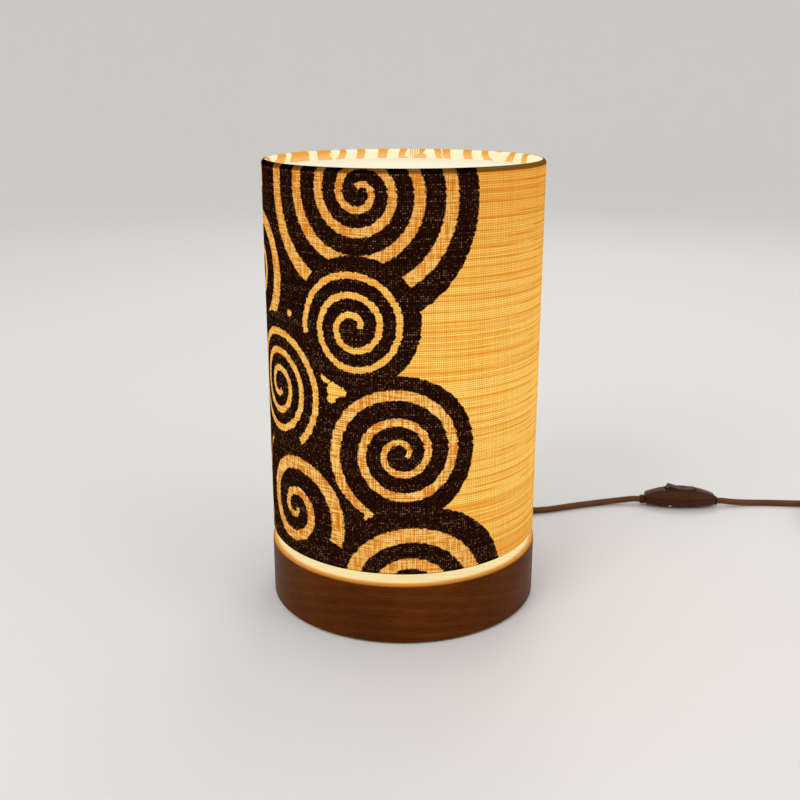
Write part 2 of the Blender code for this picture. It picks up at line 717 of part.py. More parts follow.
def make_bulb(looks):
    """The bulb: cap, insulator, contact tip, glass, stem and filament."""
    tip_high = TIP_LOW + CAP_TIP_HEIGHT
    outline = [(0, TIP_LOW), (CAP_TIP_RADIUS * 0.7, TIP_LOW), (CAP_TIP_RADIUS, tip_high), (0, tip_high)]
    turned("bulb_tip", outline, looks["steel"], SMALL_SIDES)
    edge = CAP_BORE - SEAT
    outline = [(0, INSULATOR_LOW), (INSULATOR_FOOT, INSULATOR_LOW), (edge, CAP_LOW)]
    outline += [(edge, CAP_LOW + INSULATOR_RIM), (0, CAP_LOW + INSULATOR_RIM)]
    turned("bulb_insulator", outline, looks["holder"], SMALL_SIDES)
    outline = [(CAP_BORE, CAP_LOW)]
    outline += ridges(CAP_THREAD, CAP_THREAD_DEPTH, CAP_LOW, CAP_HIGH, CAP_TURNS)
    outline += [(CAP_BORE, CAP_HIGH)]
    turned("bulb_cap", outline, looks["brass"], MIDDLE_SIDES)

    wall = BULB_WALL
    top = CAP_HIGH + BULB_LENGTH - NECK_DEPTH
    dome = top - BULB_DOME
    neck, radius = CAP_BORE - SEAT, BULB_RADIUS
    outside = [(neck, GLASS_LOW), (neck, CAP_HIGH), (CAP_THREAD, CAP_HIGH + 3 * SEAT)]
    outside += [(CAP_THREAD + wall, GLASS_LOW + BULB_NECK_RISE)]
    outside += [(radius * 0.9, GLASS_LOW + BULB_SHOULDER_RISE), (radius, GLASS_LOW + BULB_BELLY_RISE)]
    outside += [
        (radius * math.cos(math.radians(a)), dome + BULB_DOME * math.sin(math.radians(a)))
        for a in (0, 20, 40, 60, 78)
    ]
    outside += [(0, top)]
    inside = [(0, top - wall)]
    inside += [
        ((radius - wall) * math.cos(math.radians(a)), dome + (BULB_DOME - wall) * math.sin(math.radians(a)))
        for a in (78, 60, 40, 20, 0)
    ]
    inside += [(radius - wall, GLASS_LOW + BULB_BELLY_RISE)]
    inside += [(radius * 0.9 - wall, GLASS_LOW + BULB_SHOULDER_RISE)]
    inside += [(CAP_THREAD, GLASS_LOW + BULB_NECK_RISE), (neck - wall, CAP_HIGH), (neck - wall, GLASS_LOW)]
    turned("bulb_glass", outside + inside, looks["glass"], MIDDLE_SIDES)

    flare = neck - wall - SEAT
    stem_high = GLASS_LOW + STEM_LENGTH
    outline = [(0, GLASS_LOW), (flare, GLASS_LOW), (flare, GLASS_LOW + wall)]
    outline += [(STEM_RADIUS, GLASS_LOW + STEM_FLARE_HEIGHT), (STEM_RADIUS, stem_high), (0, stem_high)]
    turned("bulb_stem", outline, looks["glass"], SMALL_SIDES)
    low = stem_high + SEAT + FILAMENT_WIRE
    route = [(-STEM_RADIUS / 2, 0, low)]
    for i in range(2 * FILAMENT_ZIGZAGS + 1):
        share = i / FILAMENT_ZIGZAGS - 1
        rise = FILAMENT_HEIGHT * (1 if i % 2 else 0.55)
        route.append((FILAMENT_SPREAD * share, 0, low + rise))
    route.append((STEM_RADIUS / 2, 0, low))
    tube("bulb_filament", route, FILAMENT_WIRE, looks["tungsten"], 1)


def hem(centre_height, upward):
    """Outline points of a hem, from the drum's outside over the hoop to the end of its inner leg."""
    turn = 180 if upward else -180
    sign = 1 if upward else -1
    outer = arc((HOOP_RADIUS, centre_height), HEM_HALF, 0, turn, HEM_STEPS)
    inner = arc((HOOP_RADIUS, centre_height), HEM_HALF - CLOTH, turn, 0, HEM_STEPS)
    leg = centre_height - sign * HEM_DROP
    return outer + [(HOOP_RADIUS - HEM_HALF, leg), (HOOP_RADIUS - HEM_HALF + CLOTH, leg)] + inner


def make_shade(looks):
    """The cloth drum, its liner, wire hoops, spider and ring nut."""
    low_hoop, high_hoop = SHADE_LOW + HEM_HALF, SHADE_TOP - HEM_HALF
    outline = hem(high_hoop, True) + hem(low_hoop, False)[::-1]
    cloth = turned("shade_cloth", outline, looks["cloth"], LARGE_SIDES)
    outside = SHADE_RADIUS - CLOTH - SEAT
    liner_low, liner_high = low_hoop + HEM_HALF, high_hoop - HEM_HALF
    outline = [(outside - LINER, liner_low), (outside, liner_low)]
    outline += [(outside, liner_high), (outside - LINER, liner_high)]
    turned("shade_liner", outline, looks["liner"], LARGE_SIDES)
    for name, height in (("shade_hoop_lower", low_hoop), ("shade_hoop_upper", high_hoop)):
        ring = arc((HOOP_RADIUS, height), SHADE_WIRE, 0, 360, HOOP_SIDES)[:-1]
        turned(name, ring, looks["steel"], LARGE_SIDES)

    outline = [(COLLAR_BORE, COLLAR_LOW), (COLLAR_OUTER, COLLAR_LOW)]
    outline += [(COLLAR_OUTER, COLLAR_HIGH), (COLLAR_BORE, COLLAR_HIGH)]
    turned("spider_collar", outline, looks["steel"], MIDDLE_SIDES)
    collar_middle = (COLLAR_LOW + COLLAR_HIGH) / 2
    landing = COLLAR_OUTER + SEAT
    start = HOOP_RADIUS - SHADE_WIRE - SEAT
    for i in range(ARMS):
        number = str(i + 1)
        angle = math.tau * i / ARMS + math.tau / 4
        arm = empty("arm_frame_" + number, (0, 0, 0), angle)
        run = start - ARM_RUN
        rise = collar_middle - low_hoop
        route = [(start, 0, low_hoop), ((start + run) / 2, 0, low_hoop), (run, 0, low_hoop)]
        route += [(run + (landing - run) * s, 0, low_hoop + rise * s) for s in (0.3, 0.6, 0.85)]
        route += [(landing + ARM_LANDING, 0, collar_middle), (landing, 0, collar_middle)]
        points = smooth_route(route, ARM_RUN / 2)
        wire = tube("spider_arm_" + number, points, SHADE_WIRE, looks["steel"])
        wire.parent = arm
        play = SHADE_WIRE + ARM_NOTCH_PLAY
        notch = block(
            "arm_notch_cutter_" + number,
            (HOOP_RADIUS - HEM_HALF - OVERRUN, -play, low_hoop - play),
            (HOOP_RADIUS - CLOTH, play, low_hoop + HEM_DROP + OVERRUN),
            looks["cloth"],
            arm,
        )
        cut(cloth, notch)

    bore = HOLDER_THREAD + RUNNING
    low = COLLAR_HIGH + SEAT
    outline = [(bore, low), (bore + RING_NUT_FLANGE, low)]
    outline += [(bore + RING_NUT_FLANGE, low + RING_NUT_FLANGE_HEIGHT)]
    outline += [(bore + RING_NUT_WIDTH, low + RING_NUT_HEIGHT), (bore, low + RING_NUT_HEIGHT)]
    turned("shade_ring_nut", outline, looks["holder"], MIDDLE_SIDES)


def make_exit(looks, exit_frame, base):
    """The strain relief in the back of the base, the sheathed lead inside, its clamp and the two wires."""
    shank_low = POCKET_OUTER + SHANK_SET_BACK
    collar_low = BASE_RADIUS + SEAT + SEAT / 2
    collar_high = collar_low + RELIEF_COLLAR_THICKNESS
    outline = [(0, shank_low), (RELIEF_SHANK, shank_low), (RELIEF_SHANK, collar_low)]
    outline += [(RELIEF_COLLAR, collar_low), (RELIEF_COLLAR, collar_high)]
    outline += relief_outline(collar_high, RELIEF_LENGTH, RELIEF_ROOT, RELIEF_TIP, RELIEF_RIBS)
    relief = turned("strain_relief", outline, looks["sheath"], SMALL_SIDES, exit_frame)
    lie_along_x(relief).location.z = EXIT_HEIGHT
    relief_end = collar_high + RELIEF_LENGTH

    inner = tube(
        "lead_in_base",
        [(x, 0, EXIT_HEIGHT) for x in np.linspace(shank_low - SEAT, SHEATH_END, 3)],
        CORD_RADIUS,
        looks["sheath"],
    )
    inner.parent = exit_frame

    ear_high = POCKET_TOP - SEAT
    ear_low = ear_high - CLAMP_THICKNESS
    hug = CORD_RADIUS + SEAT
    back = hug + CLAMP_THICKNESS
    side = math.degrees(math.asin((ear_low - EXIT_HEIGHT) / back))
    outline = [(-CLAMP_EAR, ear_high), (-hug, ear_high)]
    outline += arc((0, EXIT_HEIGHT), hug, 180, 360, 8)
    outline += [(hug, ear_high), (CLAMP_EAR, ear_high), (CLAMP_EAR, ear_low)]
    outline += arc((0, EXIT_HEIGHT), back, side, -180 - side, 8)
    outline += [(-CLAMP_EAR, ear_low)]
    clamp_frame = empty("clamp_frame", (CLAMP_PLACE, 0, 0), math.radians(90), exit_frame)
    clamp = prism("cord_clamp", outline, CLAMP_LENGTH / 2, looks["switch"], clamp_frame)
    for i, side in enumerate((-1, 1)):
        number = str(i + 1)
        head_high = ear_low - SEAT
        tip = head_high + CLAMP_SCREW_LENGTH
        fastener = screw(
            "clamp_screw_" + number,
            CLAMP_SCREW_SHANK,
            CLAMP_SCREW_HEAD,
            head_high - CLAMP_SCREW_HEAD_HEIGHT,
            head_high,
            tip,
            looks["steel"],
            clamp_frame,
        )
        fastener.location.x = side * CLAMP_SCREW_OFFSET
        cutter = rod(
            "clamp_screw_cutter_" + number,
            CLAMP_SCREW_SHANK + SEAT,
            head_high,
            tip + SEAT,
            looks["steel"],
            TINY_SIDES,
            clamp_frame,
        )
        cutter.location.x = side * CLAMP_SCREW_OFFSET
        cut(clamp, cutter)
        cut(base, cutter)

    across = np.array([-math.sin(EXIT_AZIMUTH), math.cos(EXIT_AZIMUTH), 0])
    along = np.array([math.cos(EXIT_AZIMUTH), math.sin(EXIT_AZIMUTH), 0])
    up = np.array([0, 0, 1])
    end_reach = TERMINAL_OFFSET - TERMINAL_HEAD - SEAT
    end_height = INSERT_LOW - SEAT - TERMINAL_HEAD_HEIGHT / 2
    for name, look, side in (("wire_live", "live", -1), ("wire_neutral", "neutral", 1)):
        offset = side * WIRE_SPACING * across
        entry = (SHEATH_END - SEAT) * along + EXIT_HEIGHT * up + offset
        run = SHEATH_END * along
        end_x = np.array([side * -end_reach, 0, 0])
        route = [entry, run * 0.75 + EXIT_HEIGHT * up + offset]
        route += [run * 0.38 + EXIT_HEIGHT * up * 1.05 + offset, run * 0.12 + EXIT_HEIGHT * up * 1.35 + offset]
        route += [NIPPLE_LOW * up + offset, (NIPPLE_LOW + NIPPLE_HIGH) / 2 * up + offset]
        route += [NIPPLE_HIGH * up + offset, (NIPPLE_HIGH * 0.4 + end_height * 0.6) * up + offset * 0.7 + end_x / 3]
        route += [end_x * 0.85 + end_height * up, end_x + end_height * up]
        tube(name, smooth_route(route, 4 * WIRE_RADIUS), WIRE_RADIUS, looks[look], 1)
    return relief_end * along + EXIT_HEIGHT * up, along


def switch_sizes(x):
    """Half width, top height and underside height of the switch at x along it."""
    share = abs(x) / SWITCH_HALF_LENGTH
    ends = SWITCH_END_SHARES.get(round(share, 3), 1)
    half_width = SWITCH_HALF_WIDTH - (SWITCH_HALF_WIDTH - SWITCH_END_HALF_WIDTH) * share**2
    top = SWITCH_TOP - (SWITCH_TOP - SWITCH_END_TOP) * share**2
    under = SWITCH_END_LIFT * share**2
    rise, drop = (top - SWITCH_SPLIT) * ends, (SWITCH_SPLIT - under) * ends
    return half_width * ends, SWITCH_SPLIT + rise, SWITCH_SPLIT - drop


def lower_section(x):
    """Section of the lower shell: the lower half of a rounded box."""
    half_width, _, under = switch_sizes(x)
    points = []
    for a in np.radians(np.linspace(0, 180, 11)):
        y = half_width * math.copysign(abs(math.cos(a)) ** (2 / SWITCH_ROUNDNESS), math.cos(a))
        z = SWITCH_SPLIT - (SWITCH_SPLIT - under) * math.sin(a) ** (2 / SWITCH_ROUNDNESS)
        points.append((x, y, z))
    return points


def upper_section(x):
    """Section of the upper shell: the upper half of a rounded box with a raised spine."""
    half_width, top, _ = switch_sizes(x)
    low = SWITCH_SPLIT + SEAT
    spine = min(SWITCH_SPINE_HALF_WIDTH, half_width * 0.8)
    side = [(spine + (half_width - spine) * s, 0) for s in (1, 0.94, 0.75, 0.4, 0)]
    side += [(spine, SWITCH_SPINE_RISE), (spine / 2, SWITCH_SPINE_RISE)]
    points = []
    for y, rise in side:
        crown = (1 - (y / half_width) ** SWITCH_ROUNDNESS) ** (1 / SWITCH_ROUNDNESS) if y < half_width else 0
        points.append((x, y, low + (top - low) * crown + rise * (top - low) / (SWITCH_TOP - low)))
    return points + [(x, -y, z) for _, y, z in reversed(points)]


def make_switch(looks):
    """The in-line switch: shells, rocker on its pin, contacts, glands and screws."""
    frame = empty("switch_frame", (SWITCH_X, SWITCH_Y, 0), SWITCH_YAW)
    stations = [SWITCH_HALF_LENGTH * s for s in SWITCH_STATION_SHARES]
    lower = lofted("switch_lower_shell", [lower_section(x) for x in stations], looks["switch"], frame)
    upper = lofted("switch_upper_shell", [upper_section(x) for x in stations], looks["switch"], frame)
    half, side = CAVITY_HALF_LENGTH, CAVITY_HALF_WIDTH
    below = block(
        "switch_cavity_cutter",
        (-half, -side, CAVITY_FLOOR),
        (half, side, CAVITY_ROOF),
        looks["switch"],
        frame,
    )
    slot_half = ROCKER_REACH + RUNNING
    slot_high = SWITCH_TOP + SWITCH_SPINE_RISE + OVERRUN
    slot = block(
        "rocker_slot_cutter",
        (-slot_half, -side, SWITCH_SPLIT),
        (slot_half, side, slot_high),
        looks["switch"],
        frame,
    )
    pin_hole = rod(
        "pin_hole_cutter",
        ROCKER_PIN + SEAT,
        -ROCKER_PIN_REACH - SEAT,
        ROCKER_PIN_REACH + SEAT,
        looks["switch"],
        TINY_SIDES,
        frame,
    )
    pin = rod(
        "rocker_pin", ROCKER_PIN, -ROCKER_PIN_REACH, ROCKER_PIN_REACH, looks["steel"], TINY_SIDES, frame
    )
    for item in (pin_hole, pin):
        item.data.transform(Matrix.Rotation(math.radians(90), 4, "X"))
        item.location.z = ROCKER_PIVOT
    cut(lower, below)
    cut(upper, below, slot, pin_hole)

    for name, side_sign, length in (
        ("switch_gland_left", -1, LEFT_GLAND_LENGTH),
        ("switch_gland_right", 1, RIGHT_GLAND_LENGTH),
    ):
        face = SWITCH_HALF_LENGTH + SEAT
        outline = [(0, face - GLAND_SHANK_LENGTH), (GLAND_SHANK, face - GLAND_SHANK_LENGTH)]
        outline += [(GLAND_SHANK, face), (GLAND_COLLAR * 0.9, face), (GLAND_COLLAR, face + length * 0.3)]
        outline += [(GLAND_COLLAR, face + length * 0.7), (GLAND_COLLAR * 0.85, face + length)]
        outline += [(0, face + length)]
        gland = turned(name, outline, looks["switch"], SMALL_SIDES, frame)
        hole = rod(
            name + "_cutter",
            GLAND_SHANK + SEAT,
            CAVITY_HALF_LENGTH - OVERRUN,
            SWITCH_HALF_LENGTH + OVERRUN,
            looks["switch"],
            SMALL_SIDES,
            frame,
        )
        for item in (gland, hole):
            lie_along_x(item).location.z = SWITCH_CORD_HEIGHT
            item.rotation_euler.z = 0 if side_sign > 0 else math.pi
        cut(lower, hole)

    make_rocker(looks, frame)

    top = ROCKER_PIVOT - (ROCKER_HUB + SEAT + STRIP_THICKNESS) * math.cos(ROCKER_TILT)
    top -= STRIP_REACH * math.sin(ROCKER_TILT) + SEAT
    floor = CAVITY_FLOOR + SEAT
    for name, sign, nub in (("contact_left", -1, 0), ("contact_right", 1, top - floor)):
        outline = [(CONTACT_INNER, floor), (CONTACT_OUTER, floor), (CONTACT_OUTER, floor + CONTACT_THICKNESS)]
        if nub:
            outline += [(CONTACT_INNER + CONTACT_NUB, floor + CONTACT_THICKNESS)]
            outline += [(CONTACT_INNER + CONTACT_NUB, floor + nub)]
            outline += [(CONTACT_INNER, floor + nub)]
        else:
            outline += [(CONTACT_INNER, floor + CONTACT_THICKNESS)]
        prism(name, [(sign * x, z) for x, z in outline], CONTACT_HALF_WIDTH, looks["brass"], frame)

    for i, sign in enumerate((-1, 1)):
        number = str(i + 1)
        head_high = SWITCH_SCREW_HEAD_LOW + SWITCH_SCREW_HEAD_HEIGHT
        fastener = screw(
            "switch_screw_" + number,
            SWITCH_SCREW_SHANK,
            SWITCH_SCREW_HEAD,
            SWITCH_SCREW_HEAD_LOW,
            head_high,
            SWITCH_SCREW_TOP,
            looks["steel"],
            frame,
        )
        hole, sink = SWITCH_SCREW_SHANK + SEAT, SWITCH_SCREW_HEAD + SEAT
        outline = [(0, -OVERRUN), (sink, -OVERRUN), (sink, head_high + SEAT), (hole, head_high + SEAT)]
        outline += [(hole, SWITCH_SCREW_TOP + SEAT), (0, SWITCH_SCREW_TOP + SEAT)]
        cutter = turned("switch_screw_cutter_" + number, outline, looks["steel"], TINY_SIDES, frame)
        for item in (fastener, cutter):
            item.location = (sign * SWITCH_SCREW_X, sign * SWITCH_SCREW_Y, 0)
        cut(lower, cutter)
        cut(upper, cutter)


def make_rocker(looks, frame):
    """The rocker, tilted to its rest place about its pin, with the contact strip under it."""
    reach = ROCKER_REACH
    ends = [
        (math.sqrt(reach**2 - rise**2), rise)
        for rise in (ROCKER_SKIRT_RISE, (ROCKER_SKIRT_RISE + ROCKER_END_RISE) / 2, ROCKER_END_RISE)
    ]
    hub = arc((0, 0), ROCKER_HUB, 0, -180, 6)
    outline = [(x, z) for x, z in ends]
    outline += [(reach * s, ROCKER_MIDDLE_RISE) for s in (0.2, -0.2)]
    outline += [(-x, z) for x, z in reversed(ends)]
    outline += [(x, z) for x, z in reversed(hub)]
    rocker = prism("switch_rocker", outline, ROCKER_HALF_WIDTH, looks["switch"], frame)
    bore = rod(
        "rocker_bore_cutter",
        ROCKER_PIN + SEAT,
        -ROCKER_HALF_WIDTH - OVERRUN,
        ROCKER_HALF_WIDTH + OVERRUN,
        looks["switch"],
        TINY_SIDES,
        frame,
    )
    bore.data.transform(Matrix.Rotation(math.radians(90), 4, "X"))
    high = -ROCKER_HUB - SEAT
    low = high - STRIP_THICKNESS
    outline = [(-STRIP_REACH, low), (STRIP_REACH, low), (STRIP_REACH, high), (-STRIP_REACH, high)]
    strip = prism("contact_strip", outline, STRIP_HALF_WIDTH, looks["brass"], frame)
    for item in (rocker, bore, strip):
        item.location.z = ROCKER_PIVOT
        item.rotation_euler.y = ROCKER_TILT
    cut(rocker, bore)


def coil_line(points_per_loop):
    """Centre line of the coil, clockwise from its outside, in on the lower layer and out on the upper."""
    turns = 2 * COIL_TURNS_PER_LAYER + 0.5
    count = round(turns * points_per_loop) + 1
    t = np.linspace(0, turns, count)
    middle = COIL_TURNS_PER_LAYER + 0.25
    from_middle = np.sqrt((t - middle) ** 2 + COIL_REVERSE_SHARE**2)
    radius = COIL_INNER + COIL_PITCH * (from_middle - 0.25)
    climb = np.clip((t - COIL_TURNS_PER_LAYER) / 0.5, 0, 1)
    height = COIL_LOW + COIL_PITCH * climb**2 * (3 - 2 * climb)
    angle = math.pi / 2 - math.tau * t
    x, y = COIL_X + radius * np.cos(angle), COIL_Y + radius * np.sin(angle)
    line = np.stack([x, y, height], axis=1)
    straight = 2 * CORD_RADIUS
    first = np.array([-straight, 0, 0])
    last = straight * np.array([math.sin(angle[-1]), -math.cos(angle[-1]), 0])
    return np.vstack([line[0] + first, line, line[-1] + last]), last / straight


def least_gap(line):
    """Smallest clear space between two turns of a tube along the line."""
    run = np.concatenate([[0], np.cumsum(np.linalg.norm(np.diff(line, axis=0), axis=1))])
    apart = np.linalg.norm(line[:, None] - line[None], axis=2)
    far = np.abs(run[:, None] - run[None]) > math.pi * COIL_INNER
    return float(apart[far].min()) - 2 * CORD_RADIUS


def make_tie(looks):
    """The strap round the coil's turns."""
    turn = (math.pi / 2 - TIE_AZIMUTH) / math.tau % 1
    reach_in = COIL_INNER - COIL_PITCH / 4 - CORD_RADIUS - TIE_INNER_GAP
    reach_out = COIL_OUTER + COIL_PITCH * turn / 4 + CORD_RADIUS + TIE_GAP
    low = COIL_LOW - CORD_RADIUS - TIE_GAP
    high = COIL_LOW + COIL_PITCH + CORD_RADIUS + TIE_GAP
    inner, outer = [], []
    corners = ((reach_out, high, 0), (reach_in, high, 90), (reach_in, low, 180), (reach_out, low, 270))
    for x, z, start in corners:
        dx = TIE_CORNER if x == reach_in else -TIE_CORNER
        dz = TIE_CORNER if z == low else -TIE_CORNER
        inner += arc((x + dx, z + dz), TIE_CORNER, start, start + 90, 3)
        outer += arc((x + dx, z + dz), TIE_CORNER + TIE_THICKNESS, start, start + 90, 3)
    frame = empty("tie_frame", (COIL_X, COIL_Y, 0), TIE_AZIMUTH)
    strap = ring_prism("cord_tie", outer, inner, -TIE_HALF_WIDTH, TIE_HALF_WIDTH, looks["tie"], frame)
    strap.data.transform(Matrix.Rotation(math.radians(90), 4, "X"))


def free_stretch(start, start_along, route, end, end_along):
    """Points of a free stretch, whose first and last diameter run straight out of what they meet."""
    diameter = 2 * CORD_RADIUS
    leaving, arriving = start + diameter * start_along, end - diameter * end_along
    middle = smooth_route([start, leaving, *route, arriving, end], CORD_POINT_SPACING)
    clear = [
        point
        for point in middle
        if min(np.dot(point - start, start_along), np.dot(end - point, end_along)) > 2 * diameter
    ]
    return np.vstack([start, leaving, *clear, arriving, end])


def make_lead(looks, relief_end, exit_along):
    """The free stretches of the lead, with the coil between them."""
    switch_at = np.array([SWITCH_X, SWITCH_Y, SWITCH_CORD_HEIGHT])
    switch_along = np.array([math.cos(SWITCH_YAW), math.sin(SWITCH_YAW), 0])
    start = relief_end + SEAT * exit_along
    face = SWITCH_HALF_LENGTH + SEAT
    end = switch_at - (face + LEFT_GLAND_LENGTH + SEAT) * switch_along
    lamp_side = free_stretch(start, exit_along, LAMP_ROUTE, end, switch_along)
    tube("lead_lamp_side", lamp_side, CORD_RADIUS, looks["sheath"])

    coil, leaving = coil_line(COIL_LOOP_POINTS)
    fine, _ = coil_line(COIL_LOOP_POINTS * 8)
    print(f"coil: least gap between turns {least_gap(fine) * 1000:.2f} mm")
    tube("lead_coil", coil, CORD_RADIUS, looks["sheath"], 1)

    start = switch_at + (face + RIGHT_GLAND_LENGTH + SEAT) * switch_along
    entering = np.array([1, 0, 0])
    wall_side = free_stretch(start, switch_along, WALL_ROUTE, coil[0] - SEAT * entering, entering)
    tube("lead_wall_side", wall_side, CORD_RADIUS, looks["sheath"])

    heading = np.array([math.cos(PLUG_HEADING), math.sin(PLUG_HEADING), 0])
    start = coil[-1] + SEAT * leaving
    end = np.array([PLUG_X, PLUG_Y, PLUG_AXIS])
    plug_side = free_stretch(start, leaving, PLUG_ROUTE, end, heading)
    tube("lead_plug_side", plug_side, CORD_RADIUS, looks["sheath"])
    stretches = [length_of(p) for p in (lamp_side, wall_side, coil, plug_side)]
    through_switch = 2 * face + LEFT_GLAND_LENGTH + RIGHT_GLAND_LENGTH
    total = sum(stretches) + through_switch + RELIEF_LENGTH + PLUG_RELIEF_LENGTH
    named = ", ".join(f"{s:.3f}" for s in stretches)
    print(f"lead: {named} m; {total:.3f} m from the base to the plug")


def make_plug(looks):
    """The two-pin plug with its strain relief."""
    frame = empty("plug_frame", (PLUG_X, PLUG_Y, PLUG_AXIS), PLUG_HEADING)
    outline = [(0, SEAT)] + relief_outline(SEAT, PLUG_RELIEF_LENGTH, RELIEF_TIP, RELIEF_ROOT, RELIEF_RIBS)
    lie_along_x(turned("plug_relief", outline, looks["sheath"], SMALL_SIDES, frame))
    low = SEAT + PLUG_RELIEF_LENGTH + SEAT
    sections = []
    for along, grown in PLUG_STATION_SHARES:
        half_width = PLUG_NECK + (PLUG_HALF_WIDTH - PLUG_NECK) * grown
        half_height = PLUG_NECK + (PLUG_HALF_HEIGHT - PLUG_NECK) * min(1, 2 * grown)
        section = []
        for a in np.radians(np.arange(0, 360, 15)):
            y = half_width * math.copysign(abs(math.cos(a)) ** (2 / PLUG_ROUNDNESS), math.cos(a))
            z = half_height * math.copysign(abs(math.sin(a)) ** (2 / PLUG_ROUNDNESS), math.sin(a))
            section.append((low + PLUG_LENGTH * along, y, z))
        sections.append(section)
    body = lofted("plug_body", sections, looks["switch"], frame)
    front = low + PLUG_LENGTH
    for i, sign in enumerate((-1, 1)):
        number = str(i + 1)
        back = front - PIN_DEPTH
        tip = front + PIN_LENGTH
        outline = [(0, back), (PIN_RADIUS, back), (PIN_RADIUS, tip - PIN_RADIUS / 2)]
        outline += [(PIN_RADIUS / 2, tip), (0, tip)]
        pin = turned("plug_pin_" + number, outline, looks["steel"], TINY_SIDES, frame)
        hole = rod(
            "plug_pin_cutter_" + number,
            PIN_RADIUS + SEAT,
            back - SEAT,
            front + OVERRUN,
            looks["steel"],
            TINY_SIDES,
            frame,
        )
        for item in (pin, hole):
            lie_along_x(item).location.y = sign * PIN_SPACING / 2
        cut(body, hole)


def main():
    """Builds the whole lamp."""
    clear_scene()
    looks = make_finishes()
    exit_frame = empty("exit_frame", (0, 0, 0), EXIT_AZIMUTH)
    base = make_base(looks, exit_frame)
    make_nipple(looks)
    make_holder(looks)
    make_bulb(looks)
    make_shade(looks)
    relief_end, exit_along = make_exit(looks, exit_frame, base)
    make_switch(looks)
    make_tie(looks)
    make_lead(looks, relief_end, exit_along)
    make_plug(looks)
    bpy.context.view_layer.update()


main()
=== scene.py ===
"""Looks of the table lamp: a lit cloth drum over a turned wooden base, with its lead and in-line switch.

Sizes are in metres, +Z is up, and the lamp looks towards -Y. Shapes are grids of points worked out with
numpy: a closed outline turned about an axis, or a tube along a path.
"""

from __future__ import annotations

import json
import logging
import math
from dataclasses import dataclass
from enum import Enum
from typing import Callable, Sequence, Union

import bmesh
import bpy
import numpy as np
from numpy.typing import NDArray
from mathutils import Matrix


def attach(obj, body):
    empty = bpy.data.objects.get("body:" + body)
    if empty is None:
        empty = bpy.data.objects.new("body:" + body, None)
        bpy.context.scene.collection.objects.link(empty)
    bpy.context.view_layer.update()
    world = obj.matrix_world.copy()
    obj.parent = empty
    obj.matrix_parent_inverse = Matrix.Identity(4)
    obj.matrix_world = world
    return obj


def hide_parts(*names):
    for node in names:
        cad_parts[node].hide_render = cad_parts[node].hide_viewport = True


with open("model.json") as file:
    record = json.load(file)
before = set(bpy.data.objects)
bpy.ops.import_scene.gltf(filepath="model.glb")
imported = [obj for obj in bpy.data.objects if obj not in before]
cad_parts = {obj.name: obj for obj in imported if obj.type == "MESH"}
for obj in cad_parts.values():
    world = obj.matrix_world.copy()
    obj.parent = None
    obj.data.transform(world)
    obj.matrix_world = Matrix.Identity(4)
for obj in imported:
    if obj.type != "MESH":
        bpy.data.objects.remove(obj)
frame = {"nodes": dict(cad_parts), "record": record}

Array = NDArray[np.float64]
Colour = tuple[float, float, float]
Formula = Union["Signal", float]

LOG = logging.getLogger("lamp")
# Gap between pieces that sit on each other, and the least angle of an edge that stays sharp
SEAT = 0.0003
SHARP = math.radians(38)
UP = np.array([0.0, 0.0, 1.0])


class Body(Enum):
    """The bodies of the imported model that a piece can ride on."""

    ROOT = "root"
    ROCKER = "rocker"
    BULB = "bulb"
    SHADE = "shade"
    RING_NUT = "ring_nut"


class Way(Enum):
    """Which way a printed coil winds outwards, seen from outside the drum."""

    CLOCKWISE = -1.0
    ANTICLOCKWISE = 1.0


class Mark(Enum):
    """The marks that the speckle group gives: a fine grain, or slow patches."""

    FINE = "Fine"
    BROAD = "Broad"


# Node trees


@dataclass(frozen=True)
class Signal:
    """A value in a node tree, on which a sum is written as plain arithmetic."""

    graph: "Graph"
    socket: bpy.types.NodeSocket

    def math(self, operation: str, *others: Formula) -> "Signal":
        """One Math node.

        Args:
            operation: the node's operation.
            others: its further inputs.

        Returns:
            The node's result.
        """
        node = self.graph.add("ShaderNodeMath", operation=operation)
        for target, source in zip(node.inputs, (self, *others)):
            self.graph.feed(target, source)
        return Signal(self.graph, node.outputs[0])

    def __add__(self, other: Formula) -> "Signal":
        """Sum."""
        return self.math("ADD", other)

    def __sub__(self, other: Formula) -> "Signal":
        """Difference."""
        return self.math("SUBTRACT", other)

    def __mul__(self, other: Formula) -> "Signal":
        """Product."""
        return self.math("MULTIPLY", other)

    def __truediv__(self, other: Formula) -> "Signal":
        """Quotient."""
        return self.math("DIVIDE", other)

    def __pow__(self, other: Formula) -> "Signal":
        """Power."""
        return self.math("POWER", other)

    def flipped(self) -> "Signal":
        """One less this value."""
        return self * -1.0 + 1.0

    def ramp(self, low: Formula, high: Formula) -> "Signal":
        """Rises smoothly from 0 at low to 1 at high; falls where low is the higher."""
        node = self.graph.add("ShaderNodeMapRange", interpolation_type="SMOOTHSTEP")
        for name, source in (("Value", self), ("From Min", low), ("From Max", high)):
            self.graph.feed(node.inputs[name], source)
        return Signal(self.graph, node.outputs["Result"])


